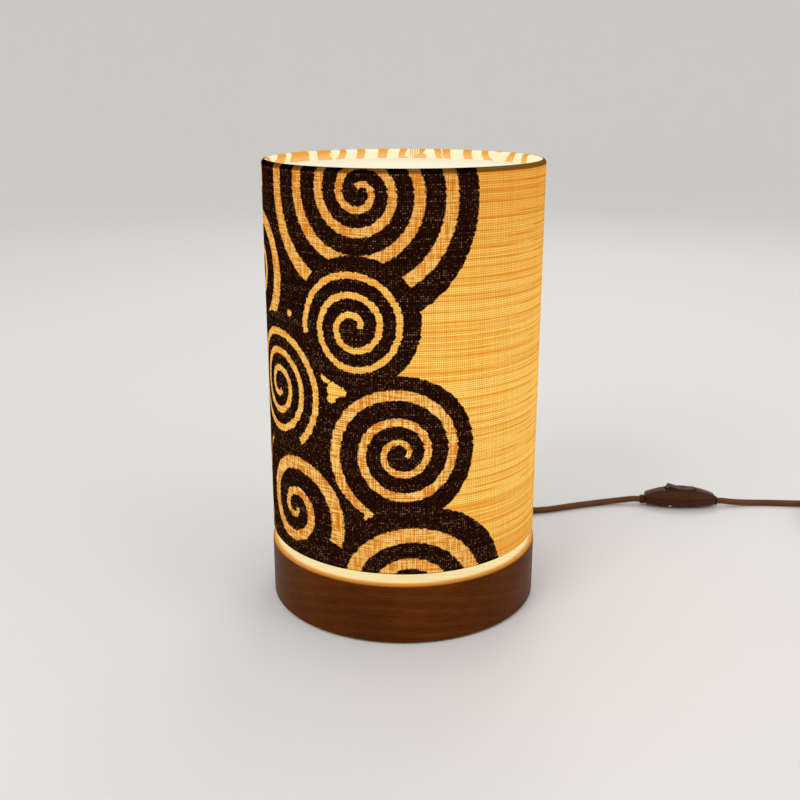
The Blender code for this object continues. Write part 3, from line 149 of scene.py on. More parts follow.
class Graph:
    """A node tree, its nodes made as formulas ask for them."""

    def __init__(self, tree: bpy.types.NodeTree) -> None:
        """Wraps a tree."""
        self.tree = tree

    def add(self, kind: str, **settings: object) -> bpy.types.Node:
        """Makes one node.

        Args:
            kind: the node's type.
            settings: the node's own properties.

        Returns:
            The node.
        """
        node = self.tree.nodes.new(kind)
        for name, value in settings.items():
            setattr(node, name, value)
        return node

    def feed(self, target: bpy.types.NodeSocket, source: object) -> None:
        """Links a signal to a socket, or sets the socket's own value."""
        if isinstance(source, Signal):
            self.tree.links.new(target, source.socket)
        else:
            target.default_value = source

    def mixed(self, share: Formula, first: object, second: object) -> Signal:
        """A colour that goes from the first to the second as share goes from 0 to 1."""
        node = self.add("ShaderNodeMix", data_type="RGBA", clamp_factor=True)
        self.feed(node.inputs[0], share)
        for place, source in ((6, first), (7, second)):
            self.feed(node.inputs[place], source if isinstance(source, Signal) else (*source, 1.0))
        return Signal(self, node.outputs[2])

    def scaled(self, colour: Signal, share: Formula) -> Signal:
        """A colour times a value."""
        node = self.add("ShaderNodeVectorMath", operation="SCALE")
        self.feed(node.inputs[0], colour)
        self.feed(node.inputs["Scale"], share)
        return Signal(self, node.outputs[0])

    def point(self, x: Formula, y: Formula, z: Formula = 0.0) -> Signal:
        """A point from three values."""
        node = self.add("ShaderNodeCombineXYZ")
        for target, source in zip(node.inputs, (x, y, z)):
            self.feed(target, source)
        return Signal(self, node.outputs[0])

    def parts(self, point: Signal) -> tuple[Signal, Signal, Signal]:
        """The three values of a point."""
        node = self.add("ShaderNodeSeparateXYZ")
        self.feed(node.inputs[0], point)
        return tuple(Signal(self, socket) for socket in node.outputs)

    def cloud(self, point: Signal, scale: float, detail: float = 2.0, rough: float = 0.5) -> Signal:
        """Soft noise round 0.5.

        Args:
            point: where it is read.
            scale: waves in a metre, or in a unit of the point.
            detail: finer waves on top.
            rough: how strong these are.

        Returns:
            The noise.
        """
        node = self.add("ShaderNodeTexNoise", noise_dimensions="3D")
        for name, value in (("Vector", point), ("Scale", scale), ("Detail", detail), ("Roughness", rough)):
            self.feed(node.inputs[name], value)
        return Signal(self, node.outputs["Fac"])

    def chance(self, point: Signal) -> Signal:
        """A random value from 0 to 1 for each point."""
        node = self.add("ShaderNodeTexWhiteNoise", noise_dimensions="3D")
        self.feed(node.inputs["Vector"], point)
        return Signal(self, node.outputs["Value"])

    def place(self, group: bpy.types.NodeTree, **values: object) -> dict[str, Signal]:
        """Puts a node group in.

        Args:
            group: the group.
            values: its inputs by name, with _ for a space.

        Returns:
            Its outputs by name.
        """
        node = self.add("ShaderNodeGroup", node_tree=group)
        for name, value in values.items():
            self.feed(node.inputs[name.replace("_", " ")], value)
        return {socket.name: Signal(self, socket) for socket in node.outputs}


class Group(Graph):
    """A node group with named inputs and outputs."""

    def __init__(self, name: str, inputs: dict[str, object], outputs: Sequence[str]) -> None:
        """Opens a group.

        Args:
            name: its name.
            inputs: each input's name and value: a number, or None for a point.
            outputs: the names of its outputs, all of them values.
        """
        super().__init__(bpy.data.node_groups.new(name, "ShaderNodeTree"))
        for label, value in inputs.items():
            kind = "NodeSocketVector" if value is None else "NodeSocketFloat"
            made = self.tree.interface.new_socket(name=label, in_out="INPUT", socket_type=kind)
            if value is not None:
                made.default_value = value
        for label in outputs:
            self.tree.interface.new_socket(name=label, in_out="OUTPUT", socket_type="NodeSocketFloat")
        self.entry, self.exit = self.add("NodeGroupInput"), self.add("NodeGroupOutput")

    def given(self, name: str) -> Signal:
        """An input of the group."""
        return Signal(self, self.entry.outputs[name])

    def give(self, **signals: Signal) -> bpy.types.NodeTree:
        """Sends signals to the outputs and returns the finished group."""
        for name, signal in signals.items():
            self.feed(self.exit.inputs[name], signal)
        return self.tree


# The coil group's own inputs, in the order of PrintedCoil's values, and how soft the print's edges are
COIL_INPUTS = ("Centre S", "Centre H", "Way", "Start", "Pitch", "Growth", "First", "Last", "Band")
COIL_INPUTS += ("Disc S", "Disc H", "Disc Radius", "Amber")
SOFT_TURNS = 0.02
SOFT_MILLIMETRES = 0.3


def make_coil_group() -> bpy.types.NodeTree:
    """One printed coil: a light band that winds out over a dark disc.

    At t turns out the band's middle lies at radius pitch * t + growth * t * t. The turns at a point are that
    formula solved for t, and the nearest band is the whole number of turns that fits the point's own angle.

    Returns:
        The group, whose Light and Stripe are those of what lies under the coil, painted over.
    """
    under = dict.fromkeys(("S", "H", "Under Light", "Under Stripe"), 0.0)
    group = Group("printed_coil", {**under, **dict.fromkeys(COIL_INPUTS, 1.0)}, ("Light", "Stripe"))
    given = group.given
    ds, dh = given("S") - given("Centre S"), given("H") - given("Centre H")
    reach = (ds * ds + dh * dh).math("SQRT")
    pitch, growth = given("Pitch"), given("Growth")
    turns = reach * 2.0 / (pitch + (pitch * pitch + growth * reach * 4.0).math("SQRT"))
    angle = dh.math("ARCTAN2", ds) / math.tau
    share = ((angle - given("Start")) * given("Way")).math("FLOORED_MODULO", 1.0)
    nearest = (turns - share + 0.5).math("FLOOR") + share
    half = given("Band") * 0.5
    band = (turns - nearest).math("ABSOLUTE").ramp(half + SOFT_TURNS, half - SOFT_TURNS)
    band = band * nearest.math("GREATER_THAN", given("First"))
    band = band * nearest.math("LESS_THAN", given("Last"))
    es, eh = ds - given("Disc S"), dh - given("Disc H")
    radius = given("Disc Radius")
    disc = (es * es + eh * eh).math("SQRT").ramp(radius + SOFT_MILLIMETRES, radius - SOFT_MILLIMETRES)
    light = given("Under Light") * disc.flipped() + band * disc
    stripe = given("Under Stripe") * disc.flipped() + disc * given("Amber")
    return group.give(Light=light, Stripe=stripe)


def make_weave_group() -> bpy.types.NodeTree:
    """Plain weave on a surface unrolled in millimetres.

    Returns:
        The group. Over is the height of the upper thread, Row and Column a random value for each thread
        across and up, Knot a random value for each crossing, and Hole the open middle between four threads.
    """
    outputs = ("Over", "Row", "Column", "Knot", "Hole")
    group = Group("plain_weave", dict.fromkeys(("S", "H", "Pitch"), 1.0), outputs)
    pitch = group.given("Pitch")
    across, up = group.given("S") / pitch, group.given("H") / pitch
    column, row = across.math("FLOOR"), up.math("FLOOR")
    s_wave, h_wave = (across * math.pi).math("SINE"), (up * math.pi).math("SINE")
    return group.give(
        Over=s_wave * h_wave * 0.5 + 0.5,
        Row=group.chance(group.point(row, 11.0)),
        Column=group.chance(group.point(column, 29.0)),
        Knot=group.chance(group.point(column, row, 3.0)),
        Hole=(s_wave * h_wave).math("ABSOLUTE").ramp(0.35, 0.95),
    )


def make_speckle_group() -> bpy.types.NodeTree:
    """Unevenness of a moulded, plated or felted surface: Fine is its grain and Broad its slow patches."""
    group = Group("fine_speckle", {"Place": None, "Scale": 900.0}, [mark.value for mark in Mark])
    place = group.given("Place")
    fine = group.cloud(group.scaled(place, group.given("Scale")), 1.0, 3.0, 0.6)
    return group.give(Fine=fine, Broad=group.cloud(place, 55.0, 2.0))


def make_grain_group() -> bpy.types.NodeTree:
    """Grain of a board whose fibres run along X.

    Returns:
        The group. Rings are slow bands across the fibres, Fibres fine streaks along them, and Pores the
        short dark dashes of an open grain.
    """
    group = Group("wood_grain", {"Place": None}, ("Rings", "Fibres", "Pores"))
    x, y, z = group.parts(group.given("Place"))
    bend = group.cloud(group.point(x * 4.0, y * 9.0, z * 9.0), 1.0, 2.0) * 0.020
    depth = (y * 0.35 + z + bend) * 700.0
    rings = (depth.math("SINE") * 0.5 + 0.5) ** 1.6
    fibres = group.cloud(group.point(x * 22.0, y * 260.0, z * 1100.0), 1.0, 3.0, 0.6)
    pores = group.cloud(group.point(x * 190.0, y * 900.0, z * 2100.0), 1.0, 1.0).ramp(0.62, 0.72)
    return group.give(Rings=rings, Fibres=fibres, Pores=pores)


@dataclass(frozen=True)
class Workshop:
    """The node groups that several finishes share."""

    coil: bpy.types.NodeTree
    weave: bpy.types.NodeTree
    speckle: bpy.types.NodeTree
    grain: bpy.types.NodeTree

    @staticmethod
    def opened() -> "Workshop":
        """Makes every group once."""
        return Workshop(make_coil_group(), make_weave_group(), make_speckle_group(), make_grain_group())


# Finishes


@dataclass
class Coat:
    """A material under construction: its graph, its shader and its place on the object."""

    graph: Graph
    shader: bpy.types.Node
    place: Signal
    material: bpy.types.Material

    @staticmethod
    def begun(name: str, roughness: float, metallic: float = 0.0) -> "Coat":
        """Opens a Principled material on Object coordinates."""
        material = bpy.data.materials.new(name)
        material.use_nodes = True
        graph = Graph(material.node_tree)
        place = Signal(graph, graph.add("ShaderNodeTexCoord").outputs["Object"])
        coat = Coat(graph, material.node_tree.nodes["Principled BSDF"], place, material)
        return coat.set(Roughness=roughness, Metallic=metallic)

    def set(self, **inputs: object) -> "Coat":
        """Feeds the shader's inputs, named with _ for a space, with signals or values."""
        for name, value in inputs.items():
            self.graph.feed(self.shader.inputs[name.replace("_", " ")], value)
        return self

    def bump(self, height: Signal, metres: float) -> "Coat":
        """Raises the surface by a height signal times a distance."""
        node = self.graph.add("ShaderNodeBump")
        self.graph.feed(node.inputs["Height"], height)
        node.inputs["Distance"].default_value = metres
        return self.set(Normal=Signal(self.graph, node.outputs["Normal"]))


@dataclass(frozen=True)
class Moulded:
    """A surface of one colour with marks on it, by default a moulded or drawn plastic.

    Along the ramp of its marks the colour goes from its first shade to its second, each of them a factor of
    the colour. The marks in worn shift the roughness by up to half the wear either way.
    """

    name: str
    colour: Colour
    roughness: float
    shades: tuple[float, float] = (0.88, 1.12)
    grain: float = 0.00004
    shine: float = 0.5
    glaze: float = 0.0
    pile: float = 0.0
    metal: float = 0.0
    scale: float = 1400.0
    marked: Mark = Mark.BROAD
    ramp: tuple[float, float] = (0.3, 0.7)
    varying: Mark = Mark.FINE
    wear: float = 0.16

    def made(self, shop: Workshop) -> bpy.types.Material:
        """Builds the material."""
        coat = Coat.begun(self.name, self.roughness, self.metal)
        coat.set(Specular_IOR_Level=self.shine, Coat_Weight=self.glaze, Sheen_Weight=self.pile)
        marks = coat.graph.place(shop.speckle, Place=coat.place, Scale=self.scale)
        first, second = (tuple(c * shade for c in self.colour) for shade in self.shades)
        coat.set(Base_Color=coat.graph.mixed(marks[self.marked.value].ramp(*self.ramp), first, second))
        if self.wear:
            coat.set(Roughness=marks[self.varying.value] * self.wear + (self.roughness - self.wear / 2))
        return coat.bump(marks[Mark.FINE.value], self.grain).material


@dataclass(frozen=True)
class Plated(Moulded):
    """A plated or drawn metal with a slight unevenness in its shine."""

    shades: tuple[float, float] = (0.82, 1.0)
    grain: float = 0.00002
    metal: float = 1.0
    scale: float = 2200.0
    ramp: tuple[float, float] = (0.35, 0.6)
    varying: Mark = Mark.BROAD
    wear: float = 0.2


@dataclass(frozen=True)
class Felted(Moulded):
    """Short felt: a soft matted pile."""

    roughness: float = 0.95
    shades: tuple[float, float] = (1.0, 1.9)
    grain: float = 0.0004
    pile: float = 0.3
    scale: float = 2600.0
    marked: Mark = Mark.FINE
    ramp: tuple[float, float] = (0.35, 0.75)
    wear: float = 0.0


@dataclass(frozen=True)
class Pressed(Felted):
    """Hardboard: flecks of pressed fibre."""

    roughness: float = 0.75
    shades: tuple[float, float] = (1.0, 1.6)
    grain: float = 0.0001
    pile: float = 0.0
    scale: float = 700.0
    ramp: tuple[float, float] = (0.4, 0.65)


@dataclass(frozen=True)
class Turned:
    """Stained and varnished wood, turned on a lathe, with the bulb's light painted on the ledge under the
    drum as a glow, orange at its rim.
    """

    name: str
    ledge: float
    radius: float
    stain: Colour = (0.056, 0.0115, 0.0010)
    pale: Colour = (0.140, 0.036, 0.0030)
    painted_rim_light: Colour = (0.70, 0.27, 0.030)
    painted_ledge_light: Colour = (0.97, 0.82, 0.42)

    def made(self, shop: Workshop) -> bpy.types.Material:
        """Builds the material."""
        coat = Coat.begun(self.name, 0.40)
        graph = coat.graph
        marks = graph.place(shop.grain, Place=coat.place)
        patch = graph.cloud(coat.place, 24.0, 2.0).ramp(0.25, 0.8)
        tone = marks["Rings"] * 0.18 + marks["Fibres"].ramp(0.3, 0.72) * 0.42 + patch * 0.40
        wood = graph.mixed(tone, self.stain, self.pale)
        wood = graph.scaled(wood, marks["Pores"] * -0.45 + 1.0)
        x, y, z = graph.parts(coat.place)
        off = (x * x + y * y).math("SQRT")
        # Painted light: the top face glows as if the bulb lit it, cream further in and orange at the rim,
        # streaked by the fibres
        lit = z.ramp(self.ledge - 0.0022, self.ledge - 0.0001)
        inner = off.ramp(self.radius - 0.0010, self.radius - 0.0050)
        glow = graph.mixed(inner, self.painted_rim_light, self.painted_ledge_light)
        grain = marks["Fibres"].ramp(0.2, 0.8) * 0.14 + 0.86
        coat.set(Base_Color=wood, Emission_Color=graph.scaled(glow, lit * grain), Emission_Strength=0.95)
        coat.set(Roughness=marks["Fibres"] * 0.18 + 0.30, Specular_IOR_Level=0.04)
        return coat.bump(marks["Fibres"] - marks["Pores"] * 0.8, 0.00010).material


@dataclass(frozen=True)
class Lit:
    """A pale surface that glows. On the bulb's glass this is the bulb's own light; on the drum's liner it is
    the bulb's light painted on.

    Its glow goes from its first colour at the lower height to its second at the upper one, which on the
    liner is painted shade, darker and more orange towards the bottom.
    """

    name: str
    roughness: float
    colour: Colour
    glow: tuple[Colour, Colour]
    heights: tuple[float, float]

    def made(self, shop: Workshop) -> bpy.types.Material:
        """Builds the material."""
        coat = Coat.begun(self.name, self.roughness)
        marks = coat.graph.place(shop.speckle, Place=coat.place, Scale=1100.0)
        soft = marks["Broad"].ramp(0.2, 0.8)
        z = coat.graph.parts(coat.place)[2]
        glow = coat.graph.mixed(z.ramp(*self.heights), *self.glow)
        coat.set(Base_Color=coat.graph.mixed(soft, self.colour, tuple(c * 0.94 for c in self.colour)))
        coat.set(Emission_Color=coat.graph.scaled(glow, soft * 0.06 + 0.94), Emission_Strength=1.0)
        return coat.bump(marks["Fine"], 0.00003).material


@dataclass(frozen=True)
class PrintedCoil:
    """One coil of the print, in millimetres on the unrolled drum.

    Its centre lies at s from the front and h from the lower edge. Its band runs from the first turn to the
    last, and band is its width as a share of the pitch. Its disc has an offset in s, one in h, and a
    radius. Amber is how much of the dyed colour its band takes.
    """

    s: float
    h: float
    way: Way
    start: float
    pitch: float = 12.0
    growth: float = 1.4
    first: float = 0.45
    last: float = 3.05
    band: float = 0.36
    disc: tuple[float, float, float] = (0.0, 0.0, 51.0)
    amber: float = 0.8

    def painted(
        self, graph: Graph, group: bpy.types.NodeTree, under: dict[str, Signal], at: tuple[Signal, Signal]
    ) -> dict[str, Signal]:
        """Paints the coil over what lies under it.

        Args:
            graph: the cloth's node tree.
            group: the coil's node group.
            under: Light and Stripe so far.
            at: the signals s and h.

        Returns:
            Light and Stripe with this coil.
        """
        values = (self.s, self.h, self.way.value, self.start, self.pitch, self.growth)
        values += (self.first, self.last, self.band, *self.disc, self.amber)
        sizes = dict(zip(COIL_INPUTS, values))
        below = {"Under Light": under["Light"], "Under Stripe": under["Stripe"]}
        return graph.place(group, S=at[0], H=at[1], **below, **sizes)


# The print's coils round the back, and then those in front, each painted over those before it
PRINT = (
    PrintedCoil(296, 280, Way.CLOCKWISE, 0.10, growth=1.0, last=3.6, band=0.62),
    PrintedCoil(228, 271, Way.ANTICLOCKWISE, 0.60, growth=1.6, last=3.4, band=0.58),
    PrintedCoil(-322, 284, Way.CLOCKWISE, 0.40, growth=1.0, last=3.6, band=0.62),
    PrintedCoil(272, 170, Way.ANTICLOCKWISE, 0.30, last=3.3, disc=(0, 0, 54)),
    PrintedCoil(220, 112, Way.CLOCKWISE, 0.85),
    PrintedCoil(278, 66, Way.ANTICLOCKWISE, 0.15),
    PrintedCoil(228, 8, Way.CLOCKWISE, 0.45, last=3.3, disc=(0, 0, 55)),
    PrintedCoil(-296, 208, Way.CLOCKWISE, 0.70, last=3.3, disc=(0, 0, 55)),
    PrintedCoil(-296, 96, Way.CLOCKWISE, 0.25),
    PrintedCoil(-280, 8, Way.ANTICLOCKWISE, 0.50),
    PrintedCoil(-246, 276, Way.ANTICLOCKWISE, 0.90, growth=1.2, last=3.6, band=0.60, disc=(0, 0, 54)),
    PrintedCoil(-230, 150, Way.ANTICLOCKWISE, 0.20),
    PrintedCoil(-214, 56, Way.CLOCKWISE, 0.55, 12.5, 1.2, last=3.2, disc=(0, 0, 55)),
    PrintedCoil(-176, 262, Way.CLOCKWISE, 0.30, 12.0, 2.0, 0.40, 2.75, disc=(0, 0, 52)),
    PrintedCoil(-154, -6, Way.CLOCKWISE, 0.10, 11.0, 2.2, last=3.0, disc=(0, 0, 54)),
    PrintedCoil(2, -15.5, Way.CLOCKWISE, 0.34, 5.26, 3.0, 0.50, 3.60, 0.43, (8, 0, 66)),
    PrintedCoil(-163, 84, Way.ANTICLOCKWISE, 0.35, 11.6, 1.5, last=2.9, band=0.35, disc=(0, 0, 46)),
    PrintedCoil(-141, 203, Way.CLOCKWISE, 0.75, 14.0, 4.2, 0.35, 1.98, 0.36, (0, 0, 52)),
    PrintedCoil(-28.3, 258, Way.CLOCKWISE, 0.763, 8.5, 1.9, 0.42, 4.42, 0.37, (-3, -5, 80.5), 0.75),
    PrintedCoil(-87, 36.2, Way.CLOCKWISE, 0.35, 6.0, 4.7, 0.36, 2.42, 0.35, (0, 2, 52), 1.0),
    PrintedCoil(-33.6, 172.0, Way.ANTICLOCKWISE, 0.60, 12.9, 0.0, 0.40, 2.93, 0.33, (1, 3, 44), 0.25),
    PrintedCoil(-104.5, 122.2, Way.CLOCKWISE, 0.28, 11.3, 0.4, 0.40, 3.43, 0.36, (-2, 2, 49), 0.55),
    PrintedCoil(-2, 88, Way.ANTICLOCKWISE, 0.415, 7.71, 2.3, 0.50, 3.27, 0.33, (-1, 2, 51.5), 0.95),
)
# Bare places between the coils: s, h and radius
BARE = (
    (-48, 129, 5.5),
    (-42, 128, 3.0),
    (-50, 123, 3.4),
    (-54, 137, 4.0),
    (-56.5, 141, 2.0),
    (-87.5, 175.5, 2.4),
)


@dataclass(frozen=True)
class Glow:
    """Light through the cloth: brightest at one height, and weaker and more orange away from it.

    Each part of the colour falls by its loss times the square of the distance from that height over reach.
    """

    height: float = 110.0
    reach: float = 156.0
    loss: Colour = (0.17, 0.36, 0.55)

    def lit(self, graph: Graph, h: Signal, colour: Colour, share: float = 1.0) -> Signal:
        """A colour as the light through the cloth shows it.

        Args:
            graph: the cloth's node tree.
            h: height in millimetres.
            colour: the colour where the light is brightest.
            share: how much of the loss it takes.

        Returns:
            The colour at h.
        """
        off = (h - self.height) / self.reach
        square = off * off
        parts = (square * (-loss * share * part) + part for part, loss in zip(colour, self.loss))
        return graph.point(*parts)


@dataclass(frozen=True)
class PrintedCloth:
    """Cream plain-woven cloth with a dark printed panel of coils, lit from behind.

    Its UV map is the cloth unrolled, in metres: U round the drum from the front, V from the lower edge, and
    on past the upper edge where the cloth is folded inwards.
    """

    name: str
    height: float
    glow: Glow = Glow()
    panels: tuple[tuple[float, float], ...] = ((-330.0, -27.0), (222.0, 330.0))
    thread: float = 1.45
    slub: float = 5.8
    # Depth under the upper edge of the painted shade band over the upper hem, in millimetres
    hem: float = 3.0
    fold: float = 1.6
    cream: Colour = (0.96, 0.45, 0.042)
    cream_hole: Colour = (1.06, 1.06, 0.400)
    cream_thick: Colour = (0.86, 0.31, 0.024)
    amber: Colour = (0.74, 0.22, 0.008)
    amber_pale: Colour = (1.04, 0.66, 0.200)
    ink: Colour = (0.0090, 0.0022, 0.0010)
    ink_upper_threads: Colour = (0.030, 0.0075, 0.0030)
    ink_hole: Colour = (0.40, 0.22, 0.085)
    fold_ink_painted_lit: Colour = (0.96, 0.38, 0.020)
    fold_cream_painted_lit: Colour = (1.08, 0.98, 0.66)

    def slubs(self, graph: Graph, s: Signal, h: Signal) -> Signal:
        """Thicker weft threads: one line in each band of the cloth, at a random height in it."""
        level = (h + s * 0.012) / self.slub
        band = level.math("FLOOR")
        line = (level - band - graph.chance(graph.point(band, 41.0)) * 0.6 - 0.2).math("ABSOLUTE")
        strength = graph.cloud(graph.point(s * 0.018, band * 7.3, 2.0), 1.0, 1.0).ramp(0.26, 0.52)
        return line.ramp(0.16, 0.04) * strength

    def printed(self, graph: Graph, shop: Workshop, at: tuple[Signal, Signal]) -> dict[str, Signal]:
        """Light and Stripe of the print at s and h.

        Args:
            graph: the cloth's node tree.
            shop: the shared groups.
            at: the signals s and h, in millimetres.

        Returns:
            Light is 1 on bare cloth and 0 on dark print; Stripe is 1 where a coil's disc lies.
        """
        s, h = at
        light = s * 0.0 + 1.0
        for low, high in self.panels:
            light = light - s.math("GREATER_THAN", low) * s.math("LESS_THAN", high)
        for centre_s, centre_h, radius in BARE:
            ds, dh = s - centre_s, h - centre_h
            off = (ds * ds + dh * dh).math("SQRT")
            light = light.math("MAXIMUM", off.ramp(radius + SOFT_MILLIMETRES, radius - SOFT_MILLIMETRES))
        under = {"Light": light, "Stripe": light * 0.0}
        for coil in PRINT:
            under = coil.painted(graph, shop.coil, under, (s, h))
        return under

    def plain(self, graph: Graph, weave: dict[str, Signal], s: Signal, h: Signal) -> Signal:
        """Colour of the bare cream cloth: its threads, the light between them, and the thick weft."""
        thin, hole, dense = (
            self.glow.lit(graph, h, tint) for tint in (self.cream, self.cream_hole, self.cream_thick)
        )
        thick = (self.slubs(graph, s, h) * 0.95).math("MAXIMUM", weave["Row"] ** 2.0 * 0.62)
        cream = graph.mixed(thick, graph.mixed(weave["Hole"], thin, hole), dense)
        wander = graph.cloud(graph.point(s * 0.35, h * 0.35, 1.0), 1.0, 2.0).ramp(0.2, 0.8)
        return graph.scaled(cream, wander * 0.06 + 1.01 - weave["Column"] ** 2.0 * 0.08)

    def dyed(self, graph: Graph, weave: dict[str, Signal], s: Signal, h: Signal) -> Signal:
        """Colour of the coils' amber bands: a soft plaid of uneven threads across and up, painted brighter
        at the holes between threads where light comes through.
        """
        across = graph.cloud(graph.point(s * 0.07, h * 0.80, 7.0), 1.0, 1.0)
        upward = graph.cloud(graph.point(s * 0.80, h * 0.07, 9.0), 1.0, 1.0)
        plaid = (across + upward - 1.0).ramp(-0.12, 0.12)
        deep, pale = (self.glow.lit(graph, h, tint, 0.6) for tint in (self.amber, self.amber_pale))
        # Painted light: brighter at the holes, where the bulb's light comes through
        return graph.scaled(graph.mixed(plaid, deep, pale), weave["Hole"] * 0.45 + 0.80)

    def inked(self, graph: Graph, weave: dict[str, Signal]) -> Signal:
        """Colour of the dark print: lighter on its upper threads and on some threads up, with pinholes of
        light at some crossings.
        """
        pin = weave["Hole"] * (weave["Knot"] ** 4.0) * (weave["Row"].ramp(0.1, 0.9) * 0.8 + 0.2)
        # Lighter on the upper threads and on some threads up
        varying = weave["Over"] * weave["Row"] * 0.5 + weave["Column"] * 0.2
        return graph.mixed(pin * 0.85, graph.mixed(varying, self.ink, self.ink_upper_threads), self.ink_hole)

    def made(self, shop: Workshop) -> bpy.types.Material:
        """Builds the material."""
        coat = Coat.begun(self.name, 0.9)
        graph = coat.graph
        unrolled = Signal(graph, graph.add("ShaderNodeUVMap", uv_map="cut").outputs["UV"])
        s, h = (part * 1000.0 for part in graph.parts(unrolled)[:2])
        weave = graph.place(shop.weave, S=s, H=h, Pitch=self.thread)
        ragged = (s + (weave["Row"] - 0.5) * 1.1, h + (weave["Column"] - 0.5) * 0.9)
        marks = self.printed(graph, shop, ragged)
        bare = graph.mixed(marks["Stripe"], self.plain(graph, weave, s, h), self.dyed(graph, weave, s, h))
        outside = graph.mixed(marks["Light"], self.inked(graph, weave), bare)

        tall = self.height * 1000.0
        # Painted shade: darker round the lower hoop and over the upper hem, where the hoops and the folded
        # cloth keep the bulb's light back
        edge = h.ramp(1.8, 0.8) * 0.50 + h.ramp(tall - self.hem - 0.4, tall - self.hem + 0.4) * 0.78
        outside = graph.scaled(outside, edge.flipped())
        # Painted light: the fold inside the upper edge is coloured as the bulb lights it, the print orange
        # and the cloth near white, fading deeper in towards cream and brighter at the holes
        faded = marks["Light"].math("MAXIMUM", h.ramp(tall + 3.0, tall + 8.0) * 0.28)
        folded = graph.mixed(faded, self.fold_ink_painted_lit, self.fold_cream_painted_lit)
        folded = graph.scaled(folded, weave["Hole"] * 0.12 + 0.92)
        inside = h.ramp(tall + self.fold - 0.5, tall + self.fold + 0.5)
        face = graph.mixed(inside, outside, folded)
        # Painted light: the bulb's light through the cloth, weaker away from its height, is in the cloth's
        # colour and is given again as its own glow
        coat.set(Base_Color=graph.scaled(face, 0.45), Specular_IOR_Level=0.0)
        coat.set(Emission_Color=graph.scaled(face, 0.56), Emission_Strength=1.0)
        return coat.bump(weave["Over"] + weave["Row"] * 0.4, 0.00022).material


# Glow at the lower and at the upper height: the bulb glass's own light, and the bulb's light painted on the
# drum's liner, darker towards the bottom
BULB_GLOW = ((0.62, 0.44, 0.19), (0.84, 0.76, 0.56))
LINER_PAINTED_LIGHT = ((0.50, 0.37, 0.19), (0.68, 0.65, 0.52))


class Finishes:
    """Every finish of the lamp, made once and handed out by name."""

    def __init__(self, base_top: float, base_radius: float, shade_height: float) -> None:
        """Makes the finishes.

        Args:
            base_top: height of the base's lit ledge.
            base_radius: its radius.
            shade_height: height of the drum's cloth.
        """
        shop = Workshop.opened()
        listed = (
            Turned("turned_wood", base_top, base_radius),
            Felted("brown_felt", (0.05, 0.03, 0.02)),
            Pressed("cover_board", (0.09, 0.08, 0.07)),
            Plated("zinc_steel", (0.62, 0.61, 0.58), 0.33),
            Plated("brass", (0.78, 0.57, 0.24), 0.28),
            Plated("filament_wire", (0.35, 0.32, 0.30), 0.40),
            Moulded("holder_resin", (0.020, 0.018, 0.016), 0.35),
            Moulded("white_ceramic", (0.82, 0.80, 0.74), 0.25, shades=(0.97, 1.03), glaze=0.5),
            Moulded("cord_sheath", (0.120, 0.043, 0.0085), 0.42, shine=0.18),
            Moulded("live_insulation", (0.20, 0.07, 0.02), 0.5),
            Moulded("neutral_insulation", (0.02, 0.12, 0.40), 0.5),
            Moulded("brown_resin", (0.054, 0.0150, 0.0018), 0.30, shine=0.14),
            Moulded("cord_tie", (0.030, 0.030, 0.030), 0.8, grain=0.0002),
            Lit("opal_glass", 0.25, (0.25, 0.22, 0.16), BULB_GLOW, (0.09, 0.14)),
            # The liner's glow is painted light from the bulb, darker towards the bottom
            Lit("shade_liner", 0.7, (0.30, 0.28, 0.22), LINER_PAINTED_LIGHT, (0.06, 0.31)),
            PrintedCloth("printed_cloth", shade_height),
        )
        self.by_name = {finish.name: finish.made(shop) for finish in listed}

    def __getitem__(self, name: str) -> bpy.types.Material:
        """A finish by its name."""
        return self.by_name[name]


# Surfaces


def grid_faces(rows: int, columns: int, wrap_rows: bool, wrap_columns: bool) -> NDArray[np.int64]:
    """Quads of a grid counted row by row: each joins a point to its neighbours right and below."""
    i = np.arange(rows if wrap_rows else rows - 1)[:, None]
    j = np.arange(columns if wrap_columns else columns - 1)[None]
    below, right = (i + 1) % rows, (j + 1) % columns
    corners = (i * columns + j, i * columns + right, below * columns + right, below * columns + j)
    return np.stack(np.broadcast_arrays(*corners), axis=-1).reshape(-1, 4)


def skin(name: str, points: Array, faces: NDArray[np.int64], uvs: Array | None = None) -> bpy.types.Mesh:
    """A smooth mesh, its seams and poles joined and its faces turned outwards.

    Args:
        name: the mesh's name.
        points: the points, in any grid shape.
        faces: quads of their numbers.
        uvs: a UV place for each corner of each face.

    Returns:
        The mesh.
    """
    mesh = bpy.data.meshes.new(name)
    mesh.from_pydata(points.reshape(-1, 3).tolist(), [], faces.tolist())
    if uvs is not None:
        mesh.uv_layers.new(name="cut").data.foreach_set("uv", uvs.ravel())
    shell = bmesh.new()
    shell.from_mesh(mesh)
    bmesh.ops.remove_doubles(shell, verts=shell.verts, dist=1e-7)
    bmesh.ops.recalc_face_normals(shell, faces=shell.faces)
    shell.to_mesh(mesh)
    shell.free()
    mesh.shade_smooth()
    mesh.set_sharp_from_angle(angle=SHARP)
    return mesh


def grid_skin(name: str, points: Array, closed: bool = True) -> bpy.types.Mesh:
    """A mesh over a grid that joins up along each row, and from its last row to its first where closed."""
    return skin(name, points, grid_faces(*points.shape[:2], wrap_rows=closed, wrap_columns=True))


